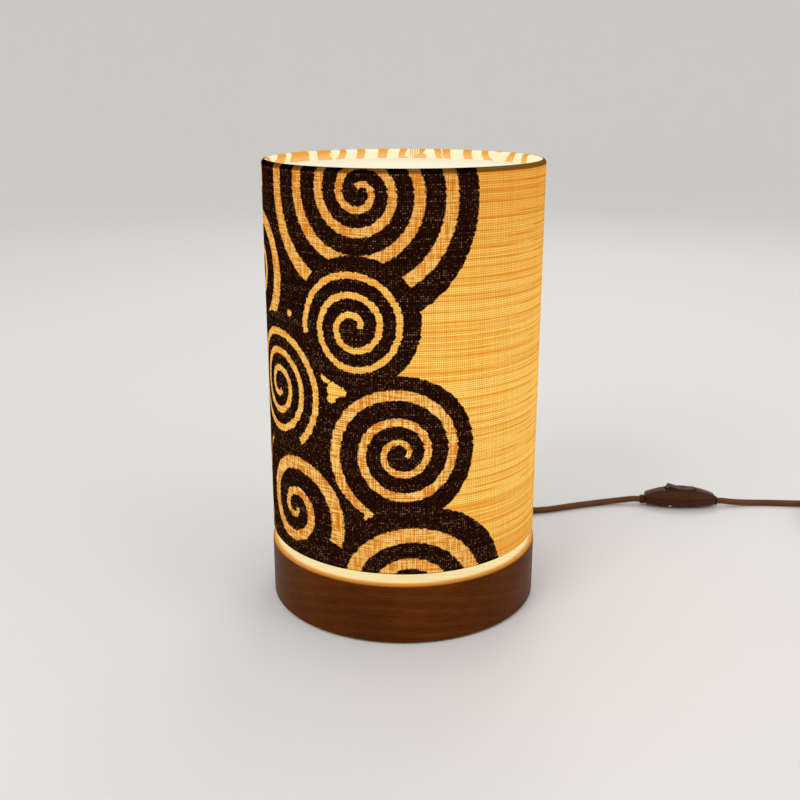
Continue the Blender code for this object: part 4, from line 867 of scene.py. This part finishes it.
def eased(profile: Sequence[tuple[float, float]], radius: float, steps: int = 4) -> Array:
    """A closed outline, each of its corners made a short curve between points set back from it."""
    corner = np.asarray(profile, float)
    ways = []
    for shift in (1, -1):
        side = np.roll(corner, shift, axis=0) - corner
        length = np.linalg.norm(side, axis=1, keepdims=True)
        ways.append(corner + side * np.minimum(radius / length, 0.45))
    t = np.linspace(0.0, 1.0, steps)[None, :, None]
    curve = (1 - t) ** 2 * ways[0][:, None] + 2 * t * (1 - t) * corner[:, None] + t**2 * ways[1][:, None]
    return curve.reshape(-1, 2)


def turned_points(outline: Array, sides: int) -> Array:
    """A grid: each outline point (radius, height) carried round Z."""
    angle = np.linspace(0.0, math.tau, sides, endpoint=False)[None]
    radius, height = np.abs(outline[:, :1]), outline[:, 1:]
    return np.stack([radius * np.cos(angle), radius * np.sin(angle), height + 0.0 * angle], axis=-1)


def along_x(points: Array) -> Array:
    """Turns points made about Z so that they lie about X."""
    return points[..., [2, 1, 0]] * np.array([1.0, 1.0, -1.0])


def placed(points: Array, origin: Sequence[float], yaw: float = 0.0) -> Array:
    """Turns points about Z by yaw and moves them to the origin."""
    c, s = math.cos(yaw), math.sin(yaw)
    return points @ np.array([[c, s, 0.0], [-s, c, 0.0], [0.0, 0.0, 1.0]]) + np.asarray(origin, float)


def closed_ends(sections: Array) -> Array:
    """Adds each end's middle as one more section, so that the ends close."""
    first, last = sections[:1].mean(axis=1, keepdims=True), sections[-1:].mean(axis=1, keepdims=True)
    one = np.ones_like(sections[:1])
    return np.concatenate([first * one, sections, last * one])


def tube_points(path: Array, radius: float, sides: int = 16) -> Array:
    """A grid round a path: circles square to the path's direction, closed at both ends."""
    along = np.gradient(path, axis=0)
    along /= np.linalg.norm(along, axis=1, keepdims=True)
    level = np.cross(UP, along)
    level /= np.linalg.norm(level, axis=1, keepdims=True)
    over = np.cross(along, level)
    angle = np.linspace(0.0, math.tau, sides, endpoint=False)[None, :, None]
    circles = path[:, None] + radius * (np.cos(angle) * level[:, None] + np.sin(angle) * over[:, None])
    return closed_ends(circles)


def smooth_route(route: Sequence, spacing: float) -> Array:
    """Points at an even spacing on a smooth curve through the route's points.

    Between two points the curve is the cubic whose slopes at them are half the way between their neighbours.
    """
    known = np.array(route, float)
    padded = np.vstack([2 * known[0] - known[1], known, 2 * known[-1] - known[-2]])
    t = np.linspace(0, 1, 24, endpoint=False)[None, :, None]
    a, b, c, d = (padded[k : len(padded) - 3 + k, None] for k in range(4))
    line = b + t * (c - a) / 2 + t**2 * (2 * a - 5 * b + 4 * c - d) / 2 + t**3 * (3 * b - a - 3 * c + d) / 2
    line = np.vstack([line.reshape(-1, 3), known[-1:]])
    run = np.concatenate([[0], np.cumsum(np.linalg.norm(np.diff(line, axis=0), axis=1))])
    stops = np.linspace(0, run[-1], max(2, round(run[-1] / spacing) + 1))
    return np.stack([np.interp(stops, run, line[:, k]) for k in range(3)], axis=1)


def length_of(path: Array) -> float:
    """Length along a path."""
    return float(np.linalg.norm(np.diff(path, axis=0), axis=1).sum())


@dataclass
class Maker:
    """Puts finished pieces in the scene, on their bodies and in their finishes."""

    finishes: Finishes

    def piece(
        self,
        name: str,
        mesh: bpy.types.Mesh,
        finish: str,
        body: Body,
        stands_for: Sequence[str] = (),
    ) -> bpy.types.Object:
        """Adds one piece.

        Args:
            name: its name.
            mesh: its mesh, in place.
            finish: its finish, which is also its material slot.
            body: the body that it rides on.
            stands_for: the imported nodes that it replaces.

        Returns:
            The piece.
        """
        made = bpy.data.objects.new(name, mesh)
        bpy.context.scene.collection.objects.link(made)
        mesh.materials.append(self.finishes[finish])
        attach(made, body.value)
        if stands_for:
            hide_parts(*stands_for)
        LOG.info("%s: %d faces, on %s", name, len(mesh.polygons), body.value)
        return made

    def turned(
        self,
        name: str,
        outline: Sequence[tuple[float, float]],
        finish: str,
        body: Body,
        stands_for: Sequence[str] = (),
        ease: float = 0.0003,
        sides: int = 96,
        put: Callable[[Array], Array] = lambda points: points,
    ) -> bpy.types.Object:
        """Adds a piece turned from a closed outline of radius and height.

        Args:
            name: its name.
            outline: its outline.
            finish: its finish.
            body: its body.
            stands_for: the nodes that it replaces.
            ease: how far its corners are rounded.
            sides: its facets round the axis.
            put: where it is placed, as a change of its points.

        Returns:
            The piece.
        """
        points = turned_points(eased(outline, ease) if ease else np.asarray(outline, float), sides)
        return self.piece(name, grid_skin(name, put(points)), finish, body, stands_for)

    def smoothed(
        self, name: str, node: str, finish: str, body: Body, edge: float
    ) -> bpy.types.Object:
        """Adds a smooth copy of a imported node: its loose triangles joined and shaded round its curves.

        Args:
            name: the piece's name.
            node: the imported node, which it replaces.
            finish: its finish.
            body: its body.
            edge: how far its sharp edges are rounded off.

        Returns:
            The piece.
        """
        mesh = frame["nodes"][node].data.copy()
        mesh.materials.clear()
        shell = bmesh.new()
        shell.from_mesh(mesh)
        bmesh.ops.remove_doubles(shell, verts=shell.verts, dist=1e-6)
        flat = [side for side in shell.edges if side.is_manifold and side.calc_face_angle(0.0) < 0.002]
        bmesh.ops.dissolve_edges(shell, edges=flat, use_verts=False)
        shell.to_mesh(mesh)
        shell.free()
        mesh.shade_smooth()
        mesh.set_sharp_from_angle(angle=SHARP)
        made = self.piece(name, mesh, finish, body, (node,))
        if edge:
            round_off = made.modifiers.new("edge", "BEVEL")
            round_off.width, round_off.segments, round_off.limit_method = edge, 2, "ANGLE"
            round_off.angle_limit, round_off.harden_normals = SHARP, True
        return made

    def tube(
        self, name: str, path: Array, radius: float, finish: str, body: Body, stands_for: Sequence[str]
    ) -> bpy.types.Object:
        """Adds a round tube along a path."""
        mesh = grid_skin(name, tube_points(path, radius), closed=False)
        return self.piece(name, mesh, finish, body, stands_for)

    def carve(self, target: bpy.types.Object, mesh: bpy.types.Mesh) -> None:
        """Cuts a mesh out of a piece and keeps the result as the piece's mesh."""
        cutter = bpy.data.objects.new("cutter", mesh)
        bpy.context.scene.collection.objects.link(cutter)
        change = target.modifiers.new("cut", "BOOLEAN")
        change.operation, change.solver, change.object = "DIFFERENCE", "EXACT", cutter
        bpy.context.view_layer.update()
        changed = target.evaluated_get(bpy.context.evaluated_depsgraph_get())
        result = bpy.data.meshes.new_from_object(changed)
        target.modifiers.remove(change)
        target.data = result
        bpy.data.objects.remove(cutter)
        target.data.set_sharp_from_angle(angle=SHARP)


# The lamp


@dataclass
class Lead:
    """The mains lead: from the base to the switch, and from the switch through the coil to the plug."""

    radius: float = 0.00275
    exit_azimuth: float = math.radians(55)
    exit_height: float = 0.0120
    relief_collar: tuple[float, float] = (0.10045, 0.10225)
    relief_length: float = 0.0240
    switch: tuple[float, float, float] = (0.2556, 0.1535, 0.0054)
    switch_yaw: float = math.radians(-3.6)
    switch_half: float = 0.0315
    glands: tuple[float, float] = (0.0045, 0.0022)
    lamp_route: tuple = (
        (0.0820, 0.1160, 0.0108),
        (0.0935, 0.1246, 0.0080),
        (0.1065, 0.1300, 0.0050),
        (0.1205, 0.1336, 0.0032),
        (0.1360, 0.1381, 0.0028),
        (0.1530, 0.1443, 0.0028),
        (0.1700, 0.1499, 0.0028),
        (0.1860, 0.1540, 0.0031),
        (0.2010, 0.1562, 0.0040),
    )
    wall_route: tuple = (
        (0.3060, 0.1514, 0.0040),
        (0.3220, 0.1527, 0.0030),
        (0.3390, 0.1527, 0.0028),
        (0.3560, 0.1510, 0.0030),
        (0.3720, 0.1493, 0.0034),
    )
    plug_route: tuple = ((0.4290, 0.0690, 0.0093), (0.4215, 0.0560, 0.0083))
    plug: tuple[float, float, float] = (0.4130, 0.0405, 0.0068)
    plug_heading: float = math.radians(-117)
    coil: tuple[float, float] = (0.4030, 0.1060)
    coil_radius: float = 0.0330
    coil_turns: float = 2.92
    coil_gap: float = 0.00055
    coil_reverse: float = 0.06
    coil_low: float = 0.0008 + 0.0004 + 0.00275
    spacing: float = 0.0040
    free_spacing: float = 0.0135

    def heading(self, angle: float) -> Array:
        """Level direction at an angle."""
        return np.array([math.cos(angle), math.sin(angle), 0.0])

    def at_exit(self, points: Array) -> Array:
        """Lays points made about Z along the line on which the lead leaves the base."""
        return placed(along_x(points), (0, 0, self.exit_height), self.exit_azimuth)

    def free_stretch(
        self, start: Array, start_along: Array, route: tuple, end: Array, end_along: Array
    ) -> Array:
        """A free stretch, whose first and last diameter run straight out of what they meet.

        Args:
            start: where it starts.
            start_along: its direction there.
            route: points between.
            end: where it ends.
            end_along: its direction there.

        Returns:
            Its points.
        """
        diameter = 2 * self.radius
        leaving, arriving = start + diameter * start_along, end - diameter * end_along
        middle = smooth_route([start, leaving, *route, arriving, end], self.free_spacing)
        off_start, off_end = (middle - start) @ start_along, (end - middle) @ end_along
        clear = middle[np.minimum(off_start, off_end) > 2 * diameter]
        return np.vstack([start, leaving, clear, arriving, end])

    def coil_line(self, per_turn: int = 48) -> tuple[Array, Array]:
        """The coil, clockwise from its outside, in on the lower layer and out on the upper.

        Args:
            per_turn: points in a turn.

        Returns:
            Its points, and the direction in which it leaves.
        """
        pitch = 2 * self.radius + self.coil_gap
        inner = self.coil_radius - self.coil_turns * pitch / 2
        turns = 2 * self.coil_turns + 0.5
        t = np.linspace(0, turns, round(turns * per_turn) + 1)
        from_middle = np.sqrt((t - self.coil_turns - 0.25) ** 2 + self.coil_reverse**2)
        radius = inner + pitch * (from_middle - 0.25)
        climb = np.clip((t - self.coil_turns) / 0.5, 0, 1)
        height = self.coil_low + pitch * climb**2 * (3 - 2 * climb)
        angle = math.pi / 2 - math.tau * t
        x, y = self.coil[0] + radius * np.cos(angle), self.coil[1] + radius * np.sin(angle)
        line = np.stack([x, y, height], axis=1)
        leaving = np.array([math.sin(angle[-1]), -math.cos(angle[-1]), 0.0])
        straight = 2 * self.radius
        return np.vstack([line[0] - [straight, 0, 0], line, line[-1] + straight * leaving]), leaving

    def paths(self) -> tuple[Array, Array]:
        """The two free lines: base to switch, and switch to plug."""
        out, through = self.heading(self.exit_azimuth), self.heading(self.switch_yaw)
        start = (self.relief_collar[1] + self.relief_length + SEAT) * out + self.exit_height * UP
        at, face = np.array(self.switch), self.switch_half + SEAT
        left = at - (face + self.glands[0] + SEAT) * through
        right = at + (face + self.glands[1] + SEAT) * through
        first = self.free_stretch(start, out, self.lamp_route, left, through)
        coil, leaving = self.coil_line()
        entering = np.array([1.0, 0.0, 0.0])
        wall = self.free_stretch(right, through, self.wall_route, coil[0] - SEAT * entering, entering)
        end, arriving = np.array(self.plug), self.heading(self.plug_heading)
        tail = self.free_stretch(coil[-1] + SEAT * leaving, leaving, self.plug_route, end, arriving)
        second = np.vstack([wall[:-1], coil, tail[1:]])
        return smooth_route(first, self.spacing), smooth_route(second, self.spacing)

    def build(self, maker: Maker) -> None:
        first, second = self.paths()
        sheath = (self.radius, "cord_sheath", Body.ROOT)
        wall_nodes = ("lead_wall_side", "lead_coil", "lead_plug_side")
        lamp_side = maker.tube("lead_to_switch", first, *sheath, ("lead_lamp_side",))
        wall_side = maker.tube("lead_to_plug", second, *sheath, wall_nodes)
        for name, node, finish, body, edge in (
            ("switch_under", "switch_lower_shell", "brown_resin", Body.ROOT, 0.0),
            ("switch_over", "switch_upper_shell", "brown_resin", Body.ROOT, 0.0),
            ("rocker_cap", "switch_rocker", "brown_resin", Body.ROCKER, 0.0005),
            ("gland_left", "switch_gland_left", "brown_resin", Body.ROOT, 0.0),
            ("gland_right", "switch_gland_right", "brown_resin", Body.ROOT, 0.0),
            ("plug_case", "plug_body", "brown_resin", Body.ROOT, 0.0006),
            ("plug_sleeve", "plug_relief", "cord_sheath", Body.ROOT, 0.0),
            ("coil_tie", "cord_tie", "cord_tie", Body.ROOT, 0.0002),
        ):
            maker.smoothed(name, node, finish, body, edge)
        LOG.info("lead: %.3f m to the switch, %.3f m to the plug", length_of(first), length_of(second))


@dataclass
class Base:
    """The turned wooden base, closed below by its cover and felt.

    Its recess and its cavity are given by radius and height. Its drill, for the lead's strain relief, has a
    radius and goes from one distance off the axis to another.
    """

    radius: float = 0.1000
    low: float = 0.0010
    top: float = 0.0457
    recess: tuple[float, float] = (0.0900, 0.0046)
    cavity: tuple[float, float] = (0.0480, 0.0310)
    bore: float = 0.0054
    drill: tuple[float, float, float] = (0.0051, 0.072, 0.102)
    top_edge: float = 0.0024
    low_edge: float = 0.0012
    sides: int = 160

    def build(self, maker: Maker, lead: Lead) -> None:
        """Makes the base and drills it where the lead leaves."""
        turn = np.radians(np.linspace(90, 0, 9))[:, None]
        top = np.array([[self.radius - self.top_edge, self.top - self.top_edge]])
        low = np.array([[self.radius - self.low_edge, self.low + self.low_edge]])
        upper = top + self.top_edge * np.hstack([np.cos(turn), np.sin(turn)])
        lower = low + self.low_edge * np.hstack([np.sin(turn), -np.cos(turn)])
        inside = eased(
            [(self.recess[0], self.low), self.recess, (self.cavity[0], self.recess[1]), self.cavity]
            + [(self.bore, self.cavity[1]), (self.bore, self.top)],
            0.0004,
        )
        rings = np.linspace(self.bore + 0.004, self.radius - self.top_edge - 0.002, 6)
        ledge = np.stack([rings, np.full_like(rings, self.top)], axis=1)
        outline = np.vstack([ledge, upper, lower, inside])
        base = maker.turned(
            "wooden_base", outline, "turned_wood", Body.ROOT, ("base_body",), 0.0, self.sides
        )
        radius, start, end = self.drill
        shank = np.array([(0.0, start), (radius, start), (radius, end), (0.0, end)])
        maker.carve(base, grid_skin("bore", lead.at_exit(turned_points(shank, 32))))


@dataclass
class Fittings:
    """The lampholder, the bulb, the ring nut and the strain relief.

    The outlines are radii and heights, or for the relief radii and distances from the lamp's axis.
    """

    bulb_radius: float = 0.0175
    bulb_wall: float = 0.001
    dome: tuple[float, float] = (0.1602, 0.0240)
    thread: float = 0.0195
    sides: int = 72
    nut_sides: int = 192
    nut_grips: int = 24

    def ribbed(self, low: float, high: float, crest: float, depth: float, turns: int) -> list:
        """Outline points of a rounded thread from low to high: a cosine wave of crests and grooves."""
        t = np.linspace(0, 1, turns * 8 + 1)
        wave = crest - depth * (0.5 + 0.5 * np.cos(math.tau * turns * t))
        return np.stack([wave, low + (high - low) * t], axis=1).tolist()

    def build_holder(self, maker: Maker) -> None:
        """Makes the lampholder's cap and its body with the flange and the ring nut's thread."""
        curve = np.radians(np.linspace(0, 90, 10))
        rise = 0.0460 + 0.0080 * (1 - np.cos(curve))
        shoulder = np.stack([0.0130 + 0.0075 * np.sin(curve), rise], axis=1)
        cap = [(0.0053, 0.0460), *shoulder.tolist(), (0.0205, 0.0643), (0.0172, 0.0643)]
        cap += [(0.0172, 0.0540), (0.0130, 0.0495), (0.0053, 0.0495)]
        body = [(0.0146, 0.0576), (0.0169, 0.0576), (0.0169, 0.0646), (self.thread, 0.0646)]
        body += [(self.thread, 0.0791), (0.0240, 0.0791), (0.0240, 0.0811)]
        body += [*self.ribbed(0.0811, 0.0971, self.thread, 0.0008, 4), (0.0146, 0.0971)]
        for part, outline in (("cap", cap), ("body", body)):
            name, node = f"lampholder_{part}", f"holder_{part}"
            maker.turned(name, outline, "holder_resin", Body.ROOT, (node,), 0.0002, self.sides)

    def build_ring_nut(self, maker: Maker) -> None:
        """Makes the ring nut, its tapered side scalloped for the fingers."""
        corners = [(0.0199, 0.0833), (0.0259, 0.0833), (0.0259, 0.0853), (0.0239, 0.0903), (0.0199, 0.0903)]
        outline = eased(corners, 0.0004)
        points = turned_points(outline, self.nut_sides)
        angle = np.linspace(0.0, math.tau, self.nut_sides, endpoint=False)[None]
        side = np.clip((outline[:, :1] - 0.0215) / 0.002, 0, 1) * (outline[:, 1:] > 0.0850)
        grip = 1.0 - 0.018 * side * (0.5 + 0.5 * np.cos(self.nut_grips * angle))
        points[..., :2] *= grip[..., None]
        mesh = grid_skin("ring_nut", points)
        maker.piece("ribbed_ring_nut", mesh, "holder_resin", Body.RING_NUT, ("shade_ring_nut",))

    def build_bulb(self, maker: Maker) -> None:
        """Makes the bulb's opal glass and its threaded cap."""
        outside = [(0.0117, 0.0852), (0.0117, 0.0962), (0.0132, 0.0974), (0.0143, 0.1020), (0.0158, 0.1150)]
        outside += [(0.0173, 0.1240), (self.bulb_radius, 0.1300)]
        angle = np.radians(np.linspace(0, 90, 14))
        low, rise = self.dome
        dome = np.stack([self.bulb_radius * np.cos(angle), low + rise * np.sin(angle)], axis=1)
        outer = np.vstack([outside, dome])
        inner = outer[::-1] - [self.bulb_wall, 0.0]
        inner[0] = (0.0, outer[-1, 1] - self.bulb_wall)
        inner[:, 0] = np.maximum(inner[:, 0], 0.0)
        inner[1 : len(angle), 1] -= self.bulb_wall * np.sin(angle[::-1][1:])
        glass = np.vstack([outer, inner]).tolist()
        maker.turned("opal_bulb", glass, "opal_glass", Body.BULB, ("bulb_glass",), 0.0, self.sides)
        cap = [(0.0120, 0.0762), *self.ribbed(0.0762, 0.0962, 0.0131, 0.0009, 5), (0.0120, 0.0962)]
        maker.turned("bulb_screw_cap", cap, "brass", Body.BULB, ("bulb_cap",), 0.0, self.sides)

    def build_relief(self, maker: Maker, lead: Lead) -> None:
        """Makes the tapered strain relief where the lead leaves the base, with grooves round its sleeve."""
        low, high = lead.relief_collar
        t = np.linspace(0, 1, 60)
        groove = np.clip(np.cos(math.tau * 6 * t) * 3 - 1.6, 0, 1) * (t < 0.95)
        wall = 0.0052 + (0.0037 - 0.0052) * t - 0.0006 * groove
        sleeve = np.stack([wall, high + lead.relief_length * t], axis=1).tolist()
        outline = [(0.0029, 0.0762), (0.0048, 0.0762), (0.0048, low), (0.0066, low), (0.0066, high)]
        outline += [*sleeve, (0.0029, high + lead.relief_length)]
        node = ("strain_relief",)
        maker.turned("tapered_relief", outline, "cord_sheath", Body.ROOT, node, 0.0, 32, lead.at_exit)


@dataclass
class Shade:
    """The cloth drum over its hoops, with its liner and its spider.

    Cloth and liner are thicknesses, wire a radius, and the drops the lengths of the hems' straight legs.
    The notch is half the gap in the lower hem where an arm passes, and short_leg the cloth left in it, in
    halves of the hem. At the seam the cloth rises over itself within an angle, and a gap stays between.
    """

    radius: float = 0.0991
    low: float = 0.0524
    top: float = 0.3252
    cloth: float = 0.0006
    liner: float = 0.0004
    wire: float = 0.0015
    drop: float = 0.0070
    upper_drop: float = 0.0045
    notch: float = 0.0024
    short_leg: float = 1.86
    arms: tuple[float, ...] = (90.0, 210.0, 330.0)
    collar: float = 0.0822
    seam: float = math.radians(172)
    seam_rise: float = 0.02
    seam_gap: float = 0.0001
    overlap: float = 0.0090
    columns: int = 340
    sides: int = 160

    @property
    def half(self) -> float:
        """Half the thickness of a hem: cloth, a seat and the wire."""
        return self.cloth + SEAT + self.wire

    @property
    def hoop(self) -> float:
        """Radius of the hoops."""
        return self.radius - self.half

    def angles(self) -> Array:
        """Angles of the columns from the front, with closer ones beside each arm's notch."""
        start = self.seam - math.tau
        stop = self.seam + self.overlap / self.radius
        even = np.linspace(start, stop, self.columns)
        notch = self.notch / self.hoop
        middles = (np.radians(np.array(self.arms)) + math.pi / 2 - start) % math.tau + start
        edges = np.concatenate([middles - notch, middles + notch])
        close = np.concatenate([edges - 0.0006, edges + 0.0006])
        return np.sort(np.concatenate([even, close]))

    def leg(self, angle: Array) -> Array:
        """Length of cloth past the lower edge at each column: less where an arm passes."""
        whole = math.pi * self.half + self.drop
        cut = self.short_leg * self.half
        middles = np.radians(np.array(self.arms)) + math.pi / 2
        off = np.abs((angle[:, None] - middles[None] + math.pi) % math.tau - math.pi).min(axis=1)
        return np.where(off < self.notch / self.hoop, cut, whole)

    def face(self, run: Array, inset: float) -> tuple[Array, Array]:
        """Radius and height of a cloth face at a length along the cloth from the lower edge's side.

        The run is 0 where the wall starts, rises up the wall, and goes past its top into the upper hem.
        Below 0 it goes round the lower hoop: a half circle and then a straight leg.

        Args:
            run: lengths along the cloth's outer face, in metres.
            inset: how far this face lies inside the outer one.

        Returns:
            Radii and heights.
        """
        half, low, high = self.half, self.low + self.half, self.top - self.half
        past = np.maximum(np.maximum(-run, run - (high - low)), 0.0)
        turn = np.minimum(past / half, math.pi)
        straight = np.maximum(past - math.pi * half, 0.0)
        reach = half - inset
        radius = self.hoop + reach * np.cos(turn)
        off = reach * np.sin(turn) - straight
        height = np.where(run < 0, low - off, np.where(run > high - low, high + off, low + run))
        return radius, height

    def build_cloth(self, maker: Maker) -> None:
        """Makes the cloth as one closed sheet: round the lower hoop, up the wall, round the upper hoop."""
        angle = self.angles()
        wall = self.top - self.low - 2 * self.half
        lower, upper = (math.pi * self.half + drop for drop in (self.drop, self.upper_drop))
        share = np.concatenate([np.linspace(0, 0.5, 8, endpoint=False), np.linspace(0.5, 1, 12)])
        low_run = -share[::-1][None] * self.leg(angle)[:, None]
        middle = np.broadcast_to(np.linspace(0, wall, 34)[1:-1], (len(angle), 32))
        high_run = np.broadcast_to(wall + share * upper, (len(angle), len(share)))
        run = np.hstack([low_run, middle, high_run])
        risen = np.clip((angle - self.seam) / self.seam_rise + 1.0, 0, 1)[:, None]
        lap = risen * (self.cloth + self.seam_gap) * (angle[:, None] > self.seam - self.seam_rise)
        sheets = []
        for inset in (0.0, self.cloth):
            radius, height = self.face(run, inset)
            radius = radius + lap * (radius > self.hoop)
            side = angle[:, None] + 0.0 * run
            sheets.append(np.stack([radius * np.sin(side), -radius * np.cos(side), height], axis=-1))
        points = np.concatenate([sheets[0], sheets[1][:, ::-1]], axis=1)
        columns, rows = points.shape[:2]
        faces = grid_faces(columns, rows, wrap_rows=False, wrap_columns=True)
        k = np.arange(rows // 2 - 1)
        strip = np.stack([k, k + 1, rows - 2 - k, rows - 1 - k], axis=-1)
        faces = np.concatenate([faces, strip, strip[:, ::-1] + (columns - 1) * rows])
        across = np.broadcast_to(angle[:, None] * self.radius, run.shape)
        places = np.stack([across, run + self.half], axis=-1)
        places = np.concatenate([places, places[:, ::-1]], axis=1).reshape(-1, 2)
        mesh = skin("cloth_drum", points, faces, places[faces])
        drum = maker.piece("cloth_drum", mesh, "printed_cloth", Body.SHADE, ("shade_cloth",))

    def build_liner(self, maker: Maker) -> None:
        """Makes the thin liner behind the cloth."""
        outer = self.radius - self.cloth - SEAT
        low, high = self.low + 2 * self.half, self.top - 2 * self.half
        outline = [(outer - self.liner, low), (outer, low), (outer, high), (outer - self.liner, high)]
        maker.turned("drum_liner", outline, "shade_liner", Body.SHADE, ("shade_liner",), 0.0, self.sides)

    def build_spider(self, maker: Maker) -> None:
        """Makes the wire hoops, the three arms and the collar."""
        low_hoop, high_hoop = self.low + self.half, self.top - self.half
        angle = np.linspace(0, math.tau, 12, endpoint=False)[:, None]
        circle = self.wire * np.hstack([np.cos(angle), np.sin(angle)])
        for name, height in (("lower", low_hoop), ("upper", high_hoop)):
            ring, node = (circle + [self.hoop, height]).tolist(), (f"shade_hoop_{name}",)
            maker.turned(f"hoop_{name}", ring, "zinc_steel", Body.SHADE, node, 0.0, self.sides)
        outline = [(0.0205, 0.0814), (0.0270, 0.0814), (0.0270, 0.0830), (0.0205, 0.0830)]
        maker.turned("collar_plate", outline, "zinc_steel", Body.SHADE, ("spider_collar",))
        start, landing = self.hoop - self.wire - SEAT, 0.0273
        run, rise = start - 0.0130, self.collar - low_hoop
        route = [(start, 0, low_hoop), ((start + run) / 2, 0, low_hoop), (run, 0, low_hoop)]
        route += [(run + (landing - run) * s, 0, low_hoop + rise * s) for s in (0.3, 0.6, 0.85)]
        route += [(landing + 0.0040, 0, self.collar), (landing, 0, self.collar)]
        path = smooth_route(route, 0.003)
        for i, azimuth in enumerate(self.arms, 1):
            arm, node = placed(path, (0, 0, 0), math.radians(azimuth)), (f"spider_arm_{i}",)
            maker.tube(f"wire_arm_{i}", arm, self.wire, "zinc_steel", Body.SHADE, node)


@dataclass
class Studio:
    """The camera, the pale floor and backdrop, and the soft lights.

    Each lamp has a name, a place, a size and a power.
    """

    eye: tuple[float, float, float] = (-0.002526, -0.759130, 0.377401)
    tilt: float = math.radians(73.189)
    lens: float = 47.76
    floor_radius: float = 2.6
    bend: float = 1.4
    pale: Colour = (0.80, 0.79, 0.77)
    sky: Colour = (1.0, 0.99, 0.97)
    sky_strength: float = 0.72
    lit_height: float = 0.15
    lamps: tuple[tuple[str, tuple[float, float, float], float, float], ...] = (
        ("key", (-1.1, -1.5, 1.7), 1.2, 15.0),
        ("fill", (1.5, -1.0, 1.1), 1.4, 6.0),
        ("rim", (0.4, 1.6, 1.6), 1.0, 6.0),
    )

    def build_camera(self) -> None:
        """Sets the camera at the photograph's place and angle."""
        data = bpy.data.cameras.new("camera")
        data.lens, data.sensor_width = self.lens, 36.0
        data.clip_start, data.clip_end = 0.05, 30.0
        camera = bpy.data.objects.new("camera", data)
        camera.location, camera.rotation_euler = self.eye, (self.tilt, 0.0, 0.0)
        bpy.context.scene.collection.objects.link(camera)
        bpy.context.scene.camera = camera

    def build_floor(self) -> None:
        """Makes a round floor that curves up all round into a backdrop: a quarter circle about Z."""
        turn = np.linspace(0, math.pi / 2, 16)
        flat = np.linspace(0.0, self.floor_radius, 14)[:-1]
        radius = np.concatenate([flat, self.floor_radius + self.bend * np.sin(turn)])
        height = np.concatenate([0.0 * flat, self.bend * (1 - np.cos(turn))])
        mesh = grid_skin("floor", turned_points(np.stack([radius, height], axis=1), 72), closed=False)
        floor = bpy.data.objects.new("floor", mesh)
        bpy.context.scene.collection.objects.link(floor)
        material = bpy.data.materials.new("pale_floor")
        material.use_nodes = True
        shader = material.node_tree.nodes["Principled BSDF"]
        shader.inputs["Base Color"].default_value = (*self.pale, 1.0)
        shader.inputs["Roughness"].default_value = 0.7
        mesh.materials.append(material)

    def build_lights(self) -> None:
        """Adds an even sky and three soft area lamps, which face a point up the lamp's own axis."""
        scene = bpy.context.scene
        scene.view_settings.view_transform = "Standard"
        world = bpy.data.worlds.new("studio")
        world.use_nodes = True
        sky = world.node_tree.nodes["Background"].inputs
        sky["Color"].default_value, sky["Strength"].default_value = (*self.sky, 1.0), self.sky_strength
        scene.world = world
        for name, place, size, power in self.lamps:
            data = bpy.data.lights.new(name, "AREA")
            data.shape, data.size, data.energy = "DISK", size, power
            lamp = bpy.data.objects.new(name, data)
            lamp.location = place
            away = np.array(place) - self.lit_height * UP
            tilt, turn = math.acos(away[2] / np.linalg.norm(away)), math.atan2(away[1], away[0])
            lamp.rotation_euler = (tilt, 0.0, turn + math.pi / 2)
            scene.collection.objects.link(lamp)


def dress_nodes(finishes: Finishes) -> None:
    """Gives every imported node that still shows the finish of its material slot."""
    for row in frame["record"]["subparts"]:
        node = frame["nodes"][row["node"]]
        node.data.materials.clear()
        node.data.materials.append(finishes[row["material_slot"]])


def main() -> None:
    """Builds the looks piece by piece."""
    logging.basicConfig(level=logging.INFO, format="%(message)s")
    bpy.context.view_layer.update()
    studio = Studio()
    studio.build_camera()
    studio.build_floor()
    studio.build_lights()
    base, shade, lead, fittings = Base(), Shade(), Lead(), Fittings()
    finishes = Finishes(base.top, base.radius, shade.top - shade.low)
    dress_nodes(finishes)
    maker = Maker(finishes)
    lead.build(maker)
    base.build(maker, lead)
    fittings.build_holder(maker)
    fittings.build_ring_nut(maker)
    fittings.build_bulb(maker)
    fittings.build_relief(maker, lead)
    shade.build_cloth(maker)
    shade.build_liner(maker)
    shade.build_spider(maker)


if __name__ == "__main__":
    main()
